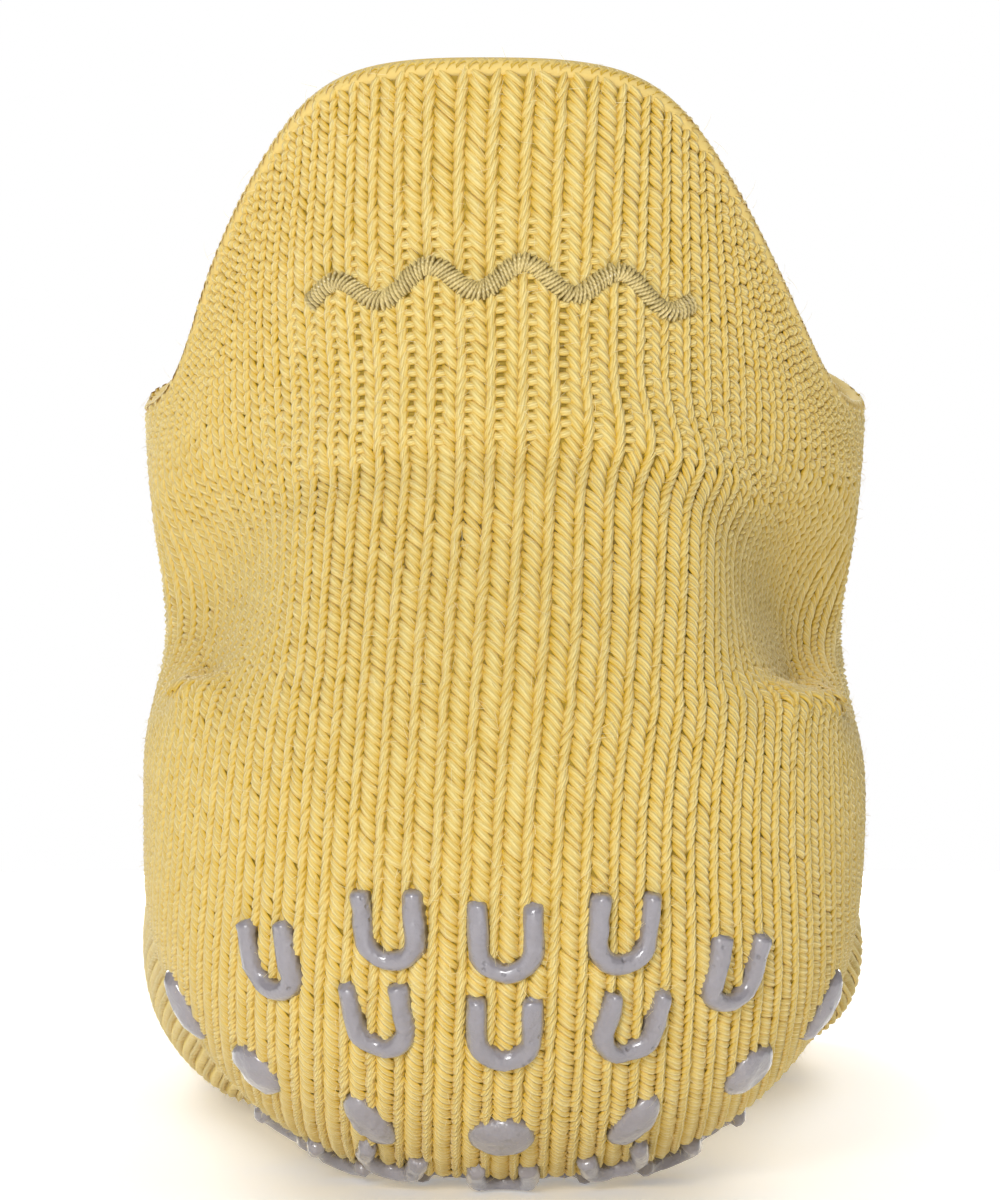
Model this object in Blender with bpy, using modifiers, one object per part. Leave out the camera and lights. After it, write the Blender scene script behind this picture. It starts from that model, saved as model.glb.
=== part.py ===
"""A non-slip toe sock for the left foot: one knitted body with five toe pockets and a tall heel tab,
and the silicone grips that are printed on its heel and sole.

Metres, +Z up. The toes point along +Y and the big toe is on the +X side. The origin is on the floor,
under the middle of the sock's own box.
"""

import math
from collections import namedtuple

import bmesh
import bpy
from mathutils import Matrix, Vector
from mathutils.bvhtree import BVHTree

# Driving sizes
LENGTH = 0.244  # heel to big toe
BALL_WIDTH = 0.085  # across the ball of the foot
INSTEP_HEIGHT = 0.080  # floor to the front of the collar, before the rim
WALL = 0.0018  # one layer of the knit
WELT = 0.0026  # the turned edge of the collar, two layers
GRIP_THICKNESS = 0.0010
GRIP_GAP = 0.0003  # between the knit and a grip
SOLE_PLANE = GRIP_THICKNESS + GRIP_GAP  # height of the knit where it bears on its grips

# The rings of the body. There are RING_POINTS points in each, and point 0 is at the middle of the sole
RING_POINTS = 24
RING_STEP = 2 * math.pi / RING_POINTS
MEDIAL, TOP, LATERAL = 6, 12, 18  # points at the big toe's side, the instep and the little toe's side

# One row for each ring, from the ball to the collar. A ring runs through the sole's, the side's and the
# top's points. y is in percent of LENGTH from the heel, z in percent of INSTEP_HEIGHT, and width in
# percent of BALL_WIDTH. shift moves the ring towards the big toe, lag sets its little toe side back and
# arch lifts the big toe's side of the sole, in the same percents. The powers square the section's corners,
# and rise is how far the ring goes from its own heights to those of the collar's rim.
Ring = namedtuple(
    "Ring",
    "name sole_y sole_z side_y side_z top_y top_z width shift lag arch sole_power top_power rise",
)
RINGS = [
    Ring("ball", 68.0, -3.0, 67.4, 19.0, 65.6, 44.0, 97.5, 0.0, 8.5, 0.0, 2.7, 2.1, 0.0),
    Ring("tread", 59.0, -2.5, 58.3, 22.0, 57.4, 55.0, 94.5, -1.0, 5.0, 2.0, 2.6, 2.0, 0.0),
    Ring("waist", 48.8, 4.0, 48.8, 27.5, 50.2, 68.0, 87.0, -2.6, 2.0, 9.0, 2.4, 2.0, 0.0),
    Ring("instep", 38.0, 6.5, 39.3, 31.0, 44.2, 80.0, 80.5, -1.5, 0.0, 9.0, 2.3, 2.0, 0.0),
    Ring("heel_front", 27.3, 0.5, 30.6, 33.5, 41.2, 89.5, 78.6, -0.4, 0.0, 1.0, 2.2, 2.0, 0.0),
    Ring("heel_seat", 16.2, -3.0, 24.6, 34.5, 40.7, 91.5, 79.0, 0.0, 0.0, 0.0, 2.1, 2.0, 0.0),
    Ring("heel_turn", 6.2, 4.5, 18.6, 35.5, 40.2, 93.4, 79.2, 0.0, 0.0, 0.0, 2.05, 2.0, 0.0),
    Ring("heel_low", 0.9, 23.5, 16.0, 41.5, 39.8, 95.2, 78.6, 0.0, 0.0, 0.0, 2.05, 2.0, 0.0),
    Ring("heel_back", -0.3, 44.0, 15.6, 51.5, 39.4, 97.0, 77.4, 0.0, 0.0, 0.0, 2.05, 2.0, 0.0),
    Ring("heel_top", 0.6, 58.0, 16.6, 59.5, 39.0, 98.8, 76.6, 0.0, 0.0, 0.0, 1.95, 2.0, 0.0),
    Ring("hollow", 2.4, 71.0, 18.6, 68.0, 38.6, 100.5, 77.4, 0.0, 0.0, 0.0, 1.8, 2.0, 0.0),
    Ring("cuff_foot", 3.5, 85.0, 20.6, 78.0, 38.2, 102.2, 79.4, 0.0, 0.0, 0.0, 1.85, 2.0, 0.0),
    Ring("cuff", 3.3, 85.0, 22.0, 78.0, 37.8, 102.2, 80.4, 0.0, 0.0, 0.0, 2.0, 2.0, 0.55),
    Ring("rim", 2.7, 85.0, 22.6, 78.0, 37.4, 102.2, 81.0, 0.0, 0.0, 0.0, 2.0, 2.0, 1.0),
]

# Height of the collar's rim in percent of INSTEP_HEIGHT, every RING_STEP from the heel's middle to the
# front: the tab, its drop to the ankle, and the slow rise to the instep
RIM_HEIGHTS = [124.0, 124.2, 121.6, 107.5, 90.6, 89.6, 91.2, 94.0, 97.0, 100.0, 103.0, 105.2, 106.0]

# One row for each toe pocket, from the big toe. root is its share of the ball's width in percent, web_y
# and tip_y are where its inner web and its tip lie in percent of LENGTH, and lean moves the tip towards
# the big toe's side. half_width, half_height and the tip's height are in percent of INSTEP_HEIGHT.
Toe = namedtuple("Toe", "name root web_y tip_y lean half_width half_height tip_z")
TOES = [
    Toe("big", 31.0, 83.4, 100.6, -1.0, 14.4, 12.4, 15.4),
    Toe("second", 19.0, 84.2, 98.6, 0.4, 9.0, 8.8, 12.6),
    Toe("third", 18.0, 82.0, 94.6, 0.2, 8.5, 8.4, 12.2),
    Toe("fourth", 16.5, 78.2, 89.8, -0.2, 8.1, 8.0, 11.8),
    Toe("little", 15.5, 73.0, 83.8, -0.8, 7.8, 7.6, 11.4),
]
TOE_ROOT_SHARE = 96.5  # width over the toes' roots, in percent of BALL_WIDTH
TOE_ROOT_SIDE_Y = 79.0  # where the root line meets the big toe's side, in percent of LENGTH
TOE_ROOT_SOLE_Z, TOE_ROOT_SIDE_Z, TOE_ROOT_TOP_Z = 1.8, 15.0, 31.5  # percent of INSTEP_HEIGHT
TOE_STATIONS = [(0.30, 1.0), (0.66, 0.99), (0.93, 0.80)]  # (share of the pocket's length, its girth)
TOE_POINTS = 8
CAGE_SWELL = 1.10  # a soft ring of eight points draws in by this much

# The grips. A U opens towards the tab, with its legs along the knit's ribs
U_WIDTH, U_HEIGHT, U_STROKE = 0.0066, 0.0084, 0.0021
U_BEND_STEPS = 4
BAR_WIDTH, BAR_HEIGHT = 0.0040, 0.0076
DISC_WIDTH = 0.0060
OVAL_POINTS = 12

# Grips on the back of the heel, by their places as seen from behind: x from the middle and z, in metres
BACK_U_PLACES = [
    (-0.0094, 0.0245),
    (0.0005, 0.0235),
    (0.0104, 0.0242),
    (-0.0198, 0.0216),
    (0.0200, 0.0204),
    (-0.0104, 0.0166),
    (0.0003, 0.0156),
    (0.0110, 0.0161),
]
# The plain band that runs round the heel below them, alternately bars and discs
BAND_PLACES = [
    (-0.0288, 0.0165),
    (-0.0218, 0.0113),
    (-0.0116, 0.0072),
    (0.0, 0.0060),
    (0.0116, 0.0072),
    (0.0218, 0.0113),
    (0.0288, 0.0165),
]
# Rows of U grips under the sole: y in percent of LENGTH, number of grips, and the middle's x
GripRow = namedtuple("GripRow", "name y count middle")
SOLE_ROWS = [
    GripRow("heel_1", 11.0, 3, 0.0),
    GripRow("heel_2", 15.6, 4, 0.0),
    GripRow("heel_3", 20.2, 5, -0.0005),
    GripRow("heel_4", 24.8, 4, -0.0010),
    GripRow("ball_1", 54.0, 5, -0.0020),
    GripRow("ball_2", 59.0, 6, -0.0010),
    GripRow("ball_3", 64.0, 7, 0.0),
    GripRow("ball_4", 69.0, 6, 0.0040),
]
ROW_PITCH = 0.0100  # between the grips of a row
BALL_LAG = 0.22  # how far the ball's rows run back towards the little toe, per metre across

YELLOW = (0.84, 0.63, 0.18, 1.0)
GREY = (0.34, 0.31, 0.34, 1.0)


def signed_power(value, power):
    """value raised to power, keeping its sign."""
    return math.copysign(abs(value) ** power, value)


def ring_points(ring):
    """The points of one ring of the body."""
    points = []
    for index in range(RING_POINTS):
        turn = index * RING_STEP
        down, out = math.cos(turn), math.sin(turn)
        power = 2 / (ring.sole_power if down > 0 else ring.top_power)
        share = abs(signed_power(down, power))
        end_y, end_z = (ring.sole_y, ring.sole_z) if down > 0 else (ring.top_y, ring.top_z)
        across = signed_power(out, power)
        y = ring.side_y + (end_y - ring.side_y) * share - ring.lag * (1 - across) / 2
        z = ring.side_z + (end_z - ring.side_z) * share
        if down > 0:
            z += ring.arch * out * down * 2
        z += (RIM_HEIGHTS[min(index, RING_POINTS - index)] - z) * ring.rise
        x = (across * ring.width / 2 + ring.shift) * BALL_WIDTH / 100
        points.append(Vector((x, y * LENGTH / 100, z * INSTEP_HEIGHT / 100)))
    return points


def toe_edges():
    """The lines between the toe pockets, from the big toe's side: (x, y) of each, in metres."""
    width = BALL_WIDTH * TOE_ROOT_SHARE / 100
    x = width / 2
    edges = [(x, TOE_ROOT_SIDE_Y * LENGTH / 100)]
    for toe in TOES:
        x -= width * toe.root / 100
        edges.append((x, toe.web_y * LENGTH / 100))
    return edges


def toe_root_ring():
    """The ring that the toe pockets grow from. Its points pair up, over and under each toe's edges and middle."""
    sole_z, side_z, top_z = (
        share * INSTEP_HEIGHT / 100 for share in (TOE_ROOT_SOLE_Z, TOE_ROOT_SIDE_Z, TOE_ROOT_TOP_Z)
    )
    edges = toe_edges()
    lines = []
    for (x, y), (next_x, next_y) in zip(edges, edges[1:]):
        lines += [(x, y), ((x + next_x) / 2, (y + next_y) / 2)]
    lines.append(edges[-1])
    points = [None] * RING_POINTS
    half = len(lines) // 2
    for place, (x, y) in enumerate(lines):
        pair = half - place
        drop = abs(pair) / half
        inset = 1 - 0.05 * (abs(pair) == half)
        points[pair % RING_POINTS] = Vector((x * inset, y, sole_z + 0.12 * side_z * drop**3))
        points[TOP - pair] = Vector((x * inset, y - 0.02 * LENGTH, top_z - (top_z - side_z) * 0.35 * drop**2))
    points[MEDIAL] = Vector((edges[0][0], edges[0][1], side_z))
    points[LATERAL] = Vector((edges[-1][0], edges[-1][1], side_z * 0.9))
    return points


def add_bands(mesh, rings):
    """Joins each ring of vertices to the next with quads, facing out."""
    for near, far in zip(rings, rings[1:]):
        count = len(near)
        for index in range(count):
            after = (index + 1) % count
            mesh.faces.new((near[index], far[index], far[after], near[after]))


def toe_ring(toe, root_centre, share, girth):
    """The points of one ring of a toe pocket, from its upper corner at the big toe's side."""
    tip = Vector((root_centre.x + toe.lean * BALL_WIDTH / 100, toe.tip_y * LENGTH / 100, 0.0))
    tip.z = toe.tip_z * INSTEP_HEIGHT / 100
    centre = root_centre.lerp(tip, share)
    half_width = toe.half_width * INSTEP_HEIGHT / 100 * CAGE_SWELL * girth
    half_height = toe.half_height * INSTEP_HEIGHT / 100 * CAGE_SWELL * girth
    points = []
    for index in range(TOE_POINTS):
        turn = math.pi / 4 + index * 2 * math.pi / TOE_POINTS
        points.append(centre + Vector((half_width * math.cos(turn), 0.0, half_height * math.sin(turn))))
    return points


def add_toes(mesh, root):
    """Grows the toe pockets out of the root ring. Neighbours share the web between them."""
    webs = []
    for place in range(len(TOES) + 1):
        pair = len(TOES) - 2 * place
        if place == 0:
            webs.append(root[MEDIAL])
        elif place == len(TOES):
            webs.append(root[LATERAL])
        else:
            webs.append(mesh.verts.new((root[pair].co + root[TOP - pair].co) / 2))
    for place, toe in enumerate(TOES):
        high = len(TOES) - 2 * place
        middle, low = high - 1, high - 2
        start = [root[TOP - high], root[TOP - middle], root[TOP - low], webs[place + 1]]
        start += [root[low], root[middle], root[high], webs[place]]
        centre = sum((vertex.co for vertex in start), Vector()) / TOE_POINTS
        rings = [start]
        for share, girth in TOE_STATIONS:
            points = toe_ring(toe, centre, share, girth)
            rings.append([mesh.verts.new(point) for point in points])
        add_bands(mesh, rings)
        last = rings[-1]
        tip_y = toe.tip_y * LENGTH / 100
        middle_of_last = sum((vertex.co for vertex in last), Vector()) / TOE_POINTS
        tip = mesh.verts.new((middle_of_last.x, tip_y, middle_of_last.z))
        for corner in range(0, TOE_POINTS, 2):
            mesh.faces.new((last[corner], tip, last[(corner + 2) % TOE_POINTS], last[corner + 1]))


def soft_mesh(name, mesh):
    """The mesh that a Subdivision Surface makes of a cage."""
    cage = bpy.data.objects.new(name + "_cage", mesh)
    bpy.context.scene.collection.objects.link(cage)
    soften = cage.modifiers.new("soften", "SUBSURF")
    soften.levels = soften.render_levels = 1
    graph = bpy.context.evaluated_depsgraph_get()
    softened = bpy.data.meshes.new_from_object(cage.evaluated_get(graph))
    bpy.data.objects.remove(cage)
    bpy.data.meshes.remove(mesh)
    softened.name = name
    return softened


def knit_body_mesh():
    """The outer face of the knitted body, open at the collar and flat where it bears on its grips."""
    cage = bmesh.new()
    places = [toe_root_ring()] + [ring_points(ring) for ring in RINGS]
    rings = [[cage.verts.new(point) for point in points] for points in places]
    add_toes(cage, rings[0])
    add_bands(cage, rings)
    bmesh.ops.recalc_face_normals(cage, faces=cage.faces)
    mesh = bpy.data.meshes.new("knit_cage")
    cage.to_mesh(mesh)
    cage.free()
    soft = soft_mesh("knit_sock", mesh)
    for vertex in soft.vertices:
        vertex.co.z = max(vertex.co.z, SOLE_PLANE)
    soft.shade_smooth()
    return soft


def add_knit_body(collection, material):
    """The body with the thickness of its knit, doubled at the turned edge of the collar."""
    body = bpy.data.objects.new("knit_sock", knit_body_mesh())
    collection.objects.link(body)
    body.data.materials.append(material)
    shell = bmesh.new()
    shell.from_mesh(body.data)
    edge = {vertex.index for vertex in shell.verts if vertex.is_boundary}
    beside = {other.index for vertex in shell.verts if vertex.is_boundary
              for link in vertex.link_edges for other in link.verts}
    shell.free()
    thickness = body.vertex_groups.new(name="thickness")
    everywhere = list(range(len(body.data.vertices)))
    thickness.add(everywhere, WALL / WELT, "REPLACE")
    thickness.add(sorted(edge | beside), 1.0, "REPLACE")
    wall = body.modifiers.new("wall", "SOLIDIFY")
    wall.thickness = WELT
    wall.offset = -1.0
    wall.use_even_offset = False
    wall.vertex_group = thickness.name
    return body


def u_mesh(name):
    """A flat U, open towards +Y, as one ribbon of even width."""
    radius = (U_WIDTH - U_STROKE) / 2
    reach = U_HEIGHT / 2
    bend_y = radius + U_STROKE / 2 - reach
    line = [(Vector((-radius, reach)), Vector((1.0, 0.0))), (Vector((-radius, (reach + bend_y) / 2)), Vector((1.0, 0.0)))]
    for step in range(U_BEND_STEPS + 1):
        turn = math.pi * step / U_BEND_STEPS
        inward = Vector((math.cos(turn), math.sin(turn)))
        line.append((Vector((0.0, bend_y)) - radius * inward, inward))
    line += [(Vector((radius, (reach + bend_y) / 2)), Vector((-1.0, 0.0))), (Vector((radius, reach)), Vector((-1.0, 0.0)))]
    ribbon = bmesh.new()
    rails = []
    for centre, inward in line:
        inner, outer = centre + inward * U_STROKE / 2, centre - inward * U_STROKE / 2
        rails.append([ribbon.verts.new((point.x, point.y, 0.0)) for point in (outer, inner)])
    for near, far in zip(rails, rails[1:]):
        ribbon.faces.new((near[0], far[0], far[1], near[1]))
    return finished_flat(name, ribbon)


def oval_mesh(name, width, height):
    """A flat round or oval pad."""
    oval = bmesh.new()
    bmesh.ops.create_circle(oval, cap_ends=True, cap_tris=True, segments=OVAL_POINTS, radius=0.5)
    bmesh.ops.scale(oval, vec=(width, height, 1.0), verts=oval.verts)
    return finished_flat(name, oval)


def finished_flat(name, flat):
    """A mesh of the flat shape, facing +Z."""
    for face in flat.faces:
        face.normal_update()
        if face.normal.z < 0:
            face.normal_flip()
    mesh = bpy.data.meshes.new(name)
    flat.to_mesh(mesh)
    flat.free()
    return mesh


def add_grip(collection, material, body, mesh, name, hit, up):
    """One grip, laid on the knit at hit with its open end towards up, and wrapped to the surface."""
    place, normal = hit
    along = (up - normal * up.dot(normal)).normalized()
    across = along.cross(normal)
    grip = bpy.data.objects.new(name, mesh)
    collection.objects.link(grip)
    turn = Matrix((across, along, normal)).transposed().to_4x4()
    grip.matrix_world = Matrix.Translation(place) @ turn
    if not mesh.materials:
        mesh.materials.append(material)
    wrap = grip.modifiers.new("wrap", "SHRINKWRAP")
    wrap.target = body
    wrap.wrap_method = "PROJECT"
    wrap.use_project_z = True
    wrap.use_negative_direction = wrap.use_positive_direction = True
    wrap.wrap_mode = "ABOVE_SURFACE"
    wrap.offset = GRIP_GAP
    pad = grip.modifiers.new("pad", "SOLIDIFY")
    pad.thickness = GRIP_THICKNESS
    pad.offset = 1.0
    return grip


def add_grips(collection, material, body):
    """All the grips: those on the heel's back, the plain band below them and the rows under the sole."""
    bpy.context.view_layer.update()
    surface = BVHTree.FromObject(body, bpy.context.evaluated_depsgraph_get())
    back, below = Vector((0.0, 1.0, 0.0)), Vector((0.0, 0.0, 1.0))
    far = LENGTH
    u_shape = u_mesh("grip_u")
    bar_shape = oval_mesh("grip_bar", BAR_WIDTH, BAR_HEIGHT)
    disc_shape = oval_mesh("grip_disc", DISC_WIDTH, DISC_WIDTH)
    grips = []
    for count, (x, z) in enumerate(BACK_U_PLACES, 1):
        hit = surface.ray_cast(Vector((x, -far, z)), back)[:2]
        grips.append((u_shape, f"grip_back_{count}", hit, below))
    for count, (x, z) in enumerate(BAND_PLACES, 1):
        hit = surface.ray_cast(Vector((x, -far, z)), back)[:2]
        shape = bar_shape if count % 2 else disc_shape
        grips.append((shape, f"grip_band_{count}", hit, below))
    for row in SOLE_ROWS:
        for count in range(row.count):
            x = (count - (row.count - 1) / 2) * ROW_PITCH
            y = row.y * LENGTH / 100 + x * BALL_LAG * row.name.startswith("ball")
            hit = surface.ray_cast(Vector((x + row.middle, y, -far)), below)[:2]
            grips.append((u_shape, f"grip_{row.name}_{count + 1}", hit, -back))
    return [add_grip(collection, material, body, *grip) for grip in grips]


def new_material(name, colour, roughness):
    material = bpy.data.materials.new(name)
    material.use_nodes = True
    shader = material.node_tree.nodes["Principled BSDF"]
    shader.inputs["Base Color"].default_value = colour
    shader.inputs["Roughness"].default_value = roughness
    shader.inputs["Metallic"].default_value = 0.0
    return material


def centre_on_floor(collection, pieces):
    """Parents the pieces to an empty that brings the middle of their box over the origin."""
    graph = bpy.context.evaluated_depsgraph_get()
    corners = []
    for piece in pieces:
        solid = piece.evaluated_get(graph)
        corners += [solid.matrix_world @ vertex.co for vertex in solid.data.vertices]
    middle_x = (min(c.x for c in corners) + max(c.x for c in corners)) / 2
    middle_y = (min(c.y for c in corners) + max(c.y for c in corners)) / 2
    root = bpy.data.objects.new("sock_root", None)
    collection.objects.link(root)
    for piece in pieces:
        piece.parent = root
    root.location = (-middle_x, -middle_y, 0.0)


def main():
    for obj in list(bpy.data.objects):
        bpy.data.objects.remove(obj)
    collection = bpy.data.collections.new("toe_sock")
    bpy.context.scene.collection.children.link(collection)
    yarn = new_material("yellow_knit", YELLOW, 0.9)
    silicone = new_material("grey_silicone", GREY, 0.35)
    body = add_knit_body(collection, yarn)
    grips = add_grips(collection, silicone, body)
    centre_on_floor(collection, [body] + grips)


main()
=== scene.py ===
"""Dresses the toe sock: knitted loops over a closed ground, fuzz, silicone grips and the tab's motif.

Everything is in metres in the frame of the solids: +Y to the toes, +X to the big toe's side, +Z up.
"""

from __future__ import annotations

import logging
import math
from dataclasses import dataclass, field
from enum import Enum
from functools import partial

import bmesh
import bpy
import numpy as np
from bpy.types import Material, Mesh, Node, NodeSocket, NodeTree, Object
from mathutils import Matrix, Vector
from mathutils.bvhtree import BVHTree

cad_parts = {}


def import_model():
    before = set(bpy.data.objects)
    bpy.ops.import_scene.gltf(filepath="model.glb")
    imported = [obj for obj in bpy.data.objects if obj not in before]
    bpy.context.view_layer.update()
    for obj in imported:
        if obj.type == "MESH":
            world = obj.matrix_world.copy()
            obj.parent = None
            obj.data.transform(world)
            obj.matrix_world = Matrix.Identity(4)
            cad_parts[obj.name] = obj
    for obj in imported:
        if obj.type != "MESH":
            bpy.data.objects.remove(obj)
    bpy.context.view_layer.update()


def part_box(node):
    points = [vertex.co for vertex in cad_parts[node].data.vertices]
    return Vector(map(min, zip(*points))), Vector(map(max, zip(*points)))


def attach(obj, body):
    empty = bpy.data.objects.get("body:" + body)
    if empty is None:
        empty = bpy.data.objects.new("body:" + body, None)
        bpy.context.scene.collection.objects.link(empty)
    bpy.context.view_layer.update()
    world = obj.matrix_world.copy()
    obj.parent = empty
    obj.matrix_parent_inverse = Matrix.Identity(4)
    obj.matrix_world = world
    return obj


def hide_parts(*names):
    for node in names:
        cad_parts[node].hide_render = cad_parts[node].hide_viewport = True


LOG = logging.getLogger("toe_sock")
MM = 0.001
Colour = tuple[float, float, float, float]
Pair = tuple[float, float]
Triple = tuple[float, float, float]
Array = np.ndarray


@dataclass(frozen=True)
class Ring:
    """One ring of the sock's form, in percents of its length, instep height and ball width."""

    name: str
    sole_y: float
    sole_z: float
    side_y: float
    side_z: float
    top_y: float
    top_z: float
    width: float
    shift: float = 0.0
    lag: float = 0.0
    arch: float = 0.0
    sole_power: float = 2.0
    top_power: float = 2.0
    rise: float = 0.0


@dataclass(frozen=True)
class Toe:
    """One toe pocket, in percents of the ball's width, the length and the instep height."""

    name: str
    root: float
    web_y: float
    tip_y: float
    lean: float
    half_width: float
    half_height: float
    tip_z: float


RINGS = (
    Ring("ball", 68.0, -3.0, 67.4, 19.0, 65.6, 44.0, 97.5, 0.0, 8.5, 0.0, 2.7, 2.1),
    Ring("tread", 59.0, -2.5, 58.3, 22.0, 57.4, 55.0, 94.5, -1.0, 5.0, 2.0, 2.6, 2.0),
    Ring("waist", 48.8, 4.0, 48.8, 27.5, 50.2, 68.0, 87.0, -2.6, 2.0, 9.0, 2.4, 2.0),
    Ring("instep", 38.0, 6.5, 39.3, 31.0, 44.2, 80.0, 80.5, -1.5, 0.0, 9.0, 2.3, 2.0),
    Ring("heel_front", 27.3, 0.5, 30.6, 33.5, 41.2, 89.5, 78.6, -0.4, 0.0, 1.0, 2.2, 2.0),
    Ring("heel_seat", 16.2, -3.0, 24.6, 34.5, 40.7, 91.5, 79.0, 0.0, 0.0, 0.0, 2.1, 2.0),
    Ring("heel_turn", 6.2, 4.5, 18.6, 35.5, 40.2, 93.4, 79.2, 0.0, 0.0, 0.0, 2.05, 2.0),
    Ring("heel_low", 0.9, 23.5, 16.0, 41.5, 39.8, 95.2, 78.6, 0.0, 0.0, 0.0, 2.05, 2.0),
    Ring("heel_back", -0.3, 44.0, 15.6, 51.5, 39.4, 97.0, 77.4, 0.0, 0.0, 0.0, 2.05, 2.0),
    Ring("heel_top", 0.6, 58.0, 16.6, 59.5, 39.0, 98.8, 76.6, 0.0, 0.0, 0.0, 1.95, 2.0),
    Ring("hollow", 2.4, 71.0, 18.6, 68.0, 38.6, 100.5, 77.4, 0.0, 0.0, 0.0, 1.8, 2.0),
    Ring("cuff_foot", 3.5, 85.0, 20.6, 78.0, 38.2, 102.2, 79.4, 0.0, 0.0, 0.0, 1.85, 2.0),
    Ring("cuff", 3.3, 85.0, 22.0, 78.0, 37.8, 102.2, 80.4, 0.0, 0.0, 0.0, 2.0, 2.0, 0.55),
    Ring("rim", 2.7, 85.0, 22.6, 78.0, 37.4, 102.2, 81.0, 0.0, 0.0, 0.0, 2.0, 2.0, 1.0),
)
# Heights of the rim in percents of the instep height, from the middle of the back round to the front.
RIM_HEIGHTS = (124.0, 124.2, 121.6, 107.5, 90.6, 89.6, 91.2, 94.0, 97.0, 100.0, 103.0, 105.2, 106.0)
TOES = (
    Toe("big", 31.0, 83.4, 100.6, -1.0, 14.4, 12.4, 15.4),
    Toe("second", 19.0, 84.2, 98.6, 0.4, 9.0, 8.8, 12.6),
    Toe("third", 18.0, 82.0, 94.6, 0.2, 8.5, 8.4, 12.2),
    Toe("fourth", 16.5, 78.2, 89.8, -0.2, 8.1, 8.0, 11.8),
    Toe("little", 15.5, 73.0, 83.8, -0.8, 7.8, 7.6, 11.4),
)
# Rings of a toe pocket: share of the way to the tip, and share of the full girth.
TOE_STATIONS = ((0.30, 1.0), (0.66, 0.99), (0.93, 0.80))


def unit(vectors: Array) -> Array:
    """The vectors of an array at length one."""
    lengths = np.linalg.norm(vectors, axis=-1, keepdims=True)
    return vectors / np.maximum(lengths, 1e-12)


def soft_step(low: float, high: float, values: Array) -> Array:
    """A smooth step from 0 at low to 1 at high."""
    share = np.clip((values - low) / (high - low), 0.0, 1.0)
    return share * share * (3.0 - 2.0 * share)


def bell(values: Array, middle: float, spread: float) -> Array:
    """A soft bump of height one round middle."""
    return np.exp(-(((values - middle) / spread) ** 2))


def running(lengths: Array) -> Array:
    """The running total of some lengths, from zero."""
    return np.concatenate([[0.0], np.cumsum(lengths)])


def read_along(stops: Array, reach: Array, values: Array) -> Array:
    """Vectors along a line, read at some distances.

    Args:
        stops: The distances to read at.
        reach: How far along the line each vector stands.
        values: The vectors, one row each.

    Returns:
        One vector for each stop.
    """
    return np.stack([np.interp(stops, reach, values[:, axis]) for axis in range(3)], axis=1)


def evaluated_mesh(obj: Object) -> Mesh:
    """A plain mesh of an object with its modifiers applied."""
    graph = bpy.context.evaluated_depsgraph_get()
    shown = obj.evaluated_get(graph)
    return bpy.data.meshes.new_from_object(shown, preserve_all_data_layers=True, depsgraph=graph)


def link_object(name: str, mesh: Mesh) -> Object:
    """A new object in the scene for a mesh."""
    obj = bpy.data.objects.new(name, mesh)
    bpy.context.scene.collection.objects.link(obj)
    return obj


def vertex_array(mesh: Mesh) -> Array:
    """The places of a mesh's vertices, one row each."""
    flat = np.empty(len(mesh.vertices) * 3, dtype=np.float32)
    mesh.vertices.foreach_get("co", flat)
    return flat.reshape(-1, 3).astype(float)


def normal_array(mesh: Mesh) -> Array:
    """The normals of a mesh's vertices, one row each."""
    flat = np.empty(len(mesh.vertices) * 3, dtype=np.float32)
    mesh.vertex_normals.foreach_get("vector", flat)
    return flat.reshape(-1, 3).astype(float)


def move_vertices(mesh: Mesh, places: Array) -> None:
    """Puts a mesh's vertices at new places."""
    mesh.vertices.foreach_set("co", places.astype(np.float32).ravel())
    mesh.update()


def corner_chart(mesh: Mesh) -> tuple[Array, Array]:
    """The vertex of each face corner of the form, and the column and row that it is charted with."""
    corners = np.empty(len(mesh.loops), dtype=np.int32)
    mesh.loops.foreach_get("vertex_index", corners)
    chart = np.empty(len(mesh.loops) * 2, dtype=np.float32)
    mesh.uv_layers["chart"].uv.foreach_get("vector", chart)
    return corners, chart.reshape(-1, 2)


def point_mesh(name: str, places: list, vectors: dict[str, Array]) -> Mesh:
    """A mesh of loose points that carry vectors, by the vectors' names."""
    points = bpy.data.meshes.new(name)
    points.from_pydata(places, [], [])
    for label, values in vectors.items():
        layer = points.attributes.new(label, "FLOAT_VECTOR", "POINT")
        layer.data.foreach_set("vector", values.astype(np.float32).ravel())
    return points


def run_tree(name: str, base: Mesh, tree: NodeTree, values: dict[str, object]) -> Mesh:
    """Runs a Geometry Nodes tree on a mesh, which it uses up.

    Args:
        name: The new mesh's name.
        base: The mesh that the tree starts from.
        tree: The tree.
        values: Values for the tree's inputs, by identifier.

    Returns:
        The tree's result as a plain mesh.
    """
    holder = link_object(name + "_base", base)
    run = holder.modifiers.new("tree", "NODES")
    run.node_group = tree
    for identifier, value in values.items():
        run[identifier] = value
    mesh = evaluated_mesh(holder)
    bpy.data.objects.remove(holder)
    bpy.data.meshes.remove(base)
    mesh.name = name
    return mesh


def drop_attributes(mesh: Mesh, *labels: str) -> None:
    """Removes attributes that a mesh needed only while it was made."""
    for label in labels:
        if label in mesh.attributes:
            mesh.attributes.remove(mesh.attributes[label])


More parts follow.
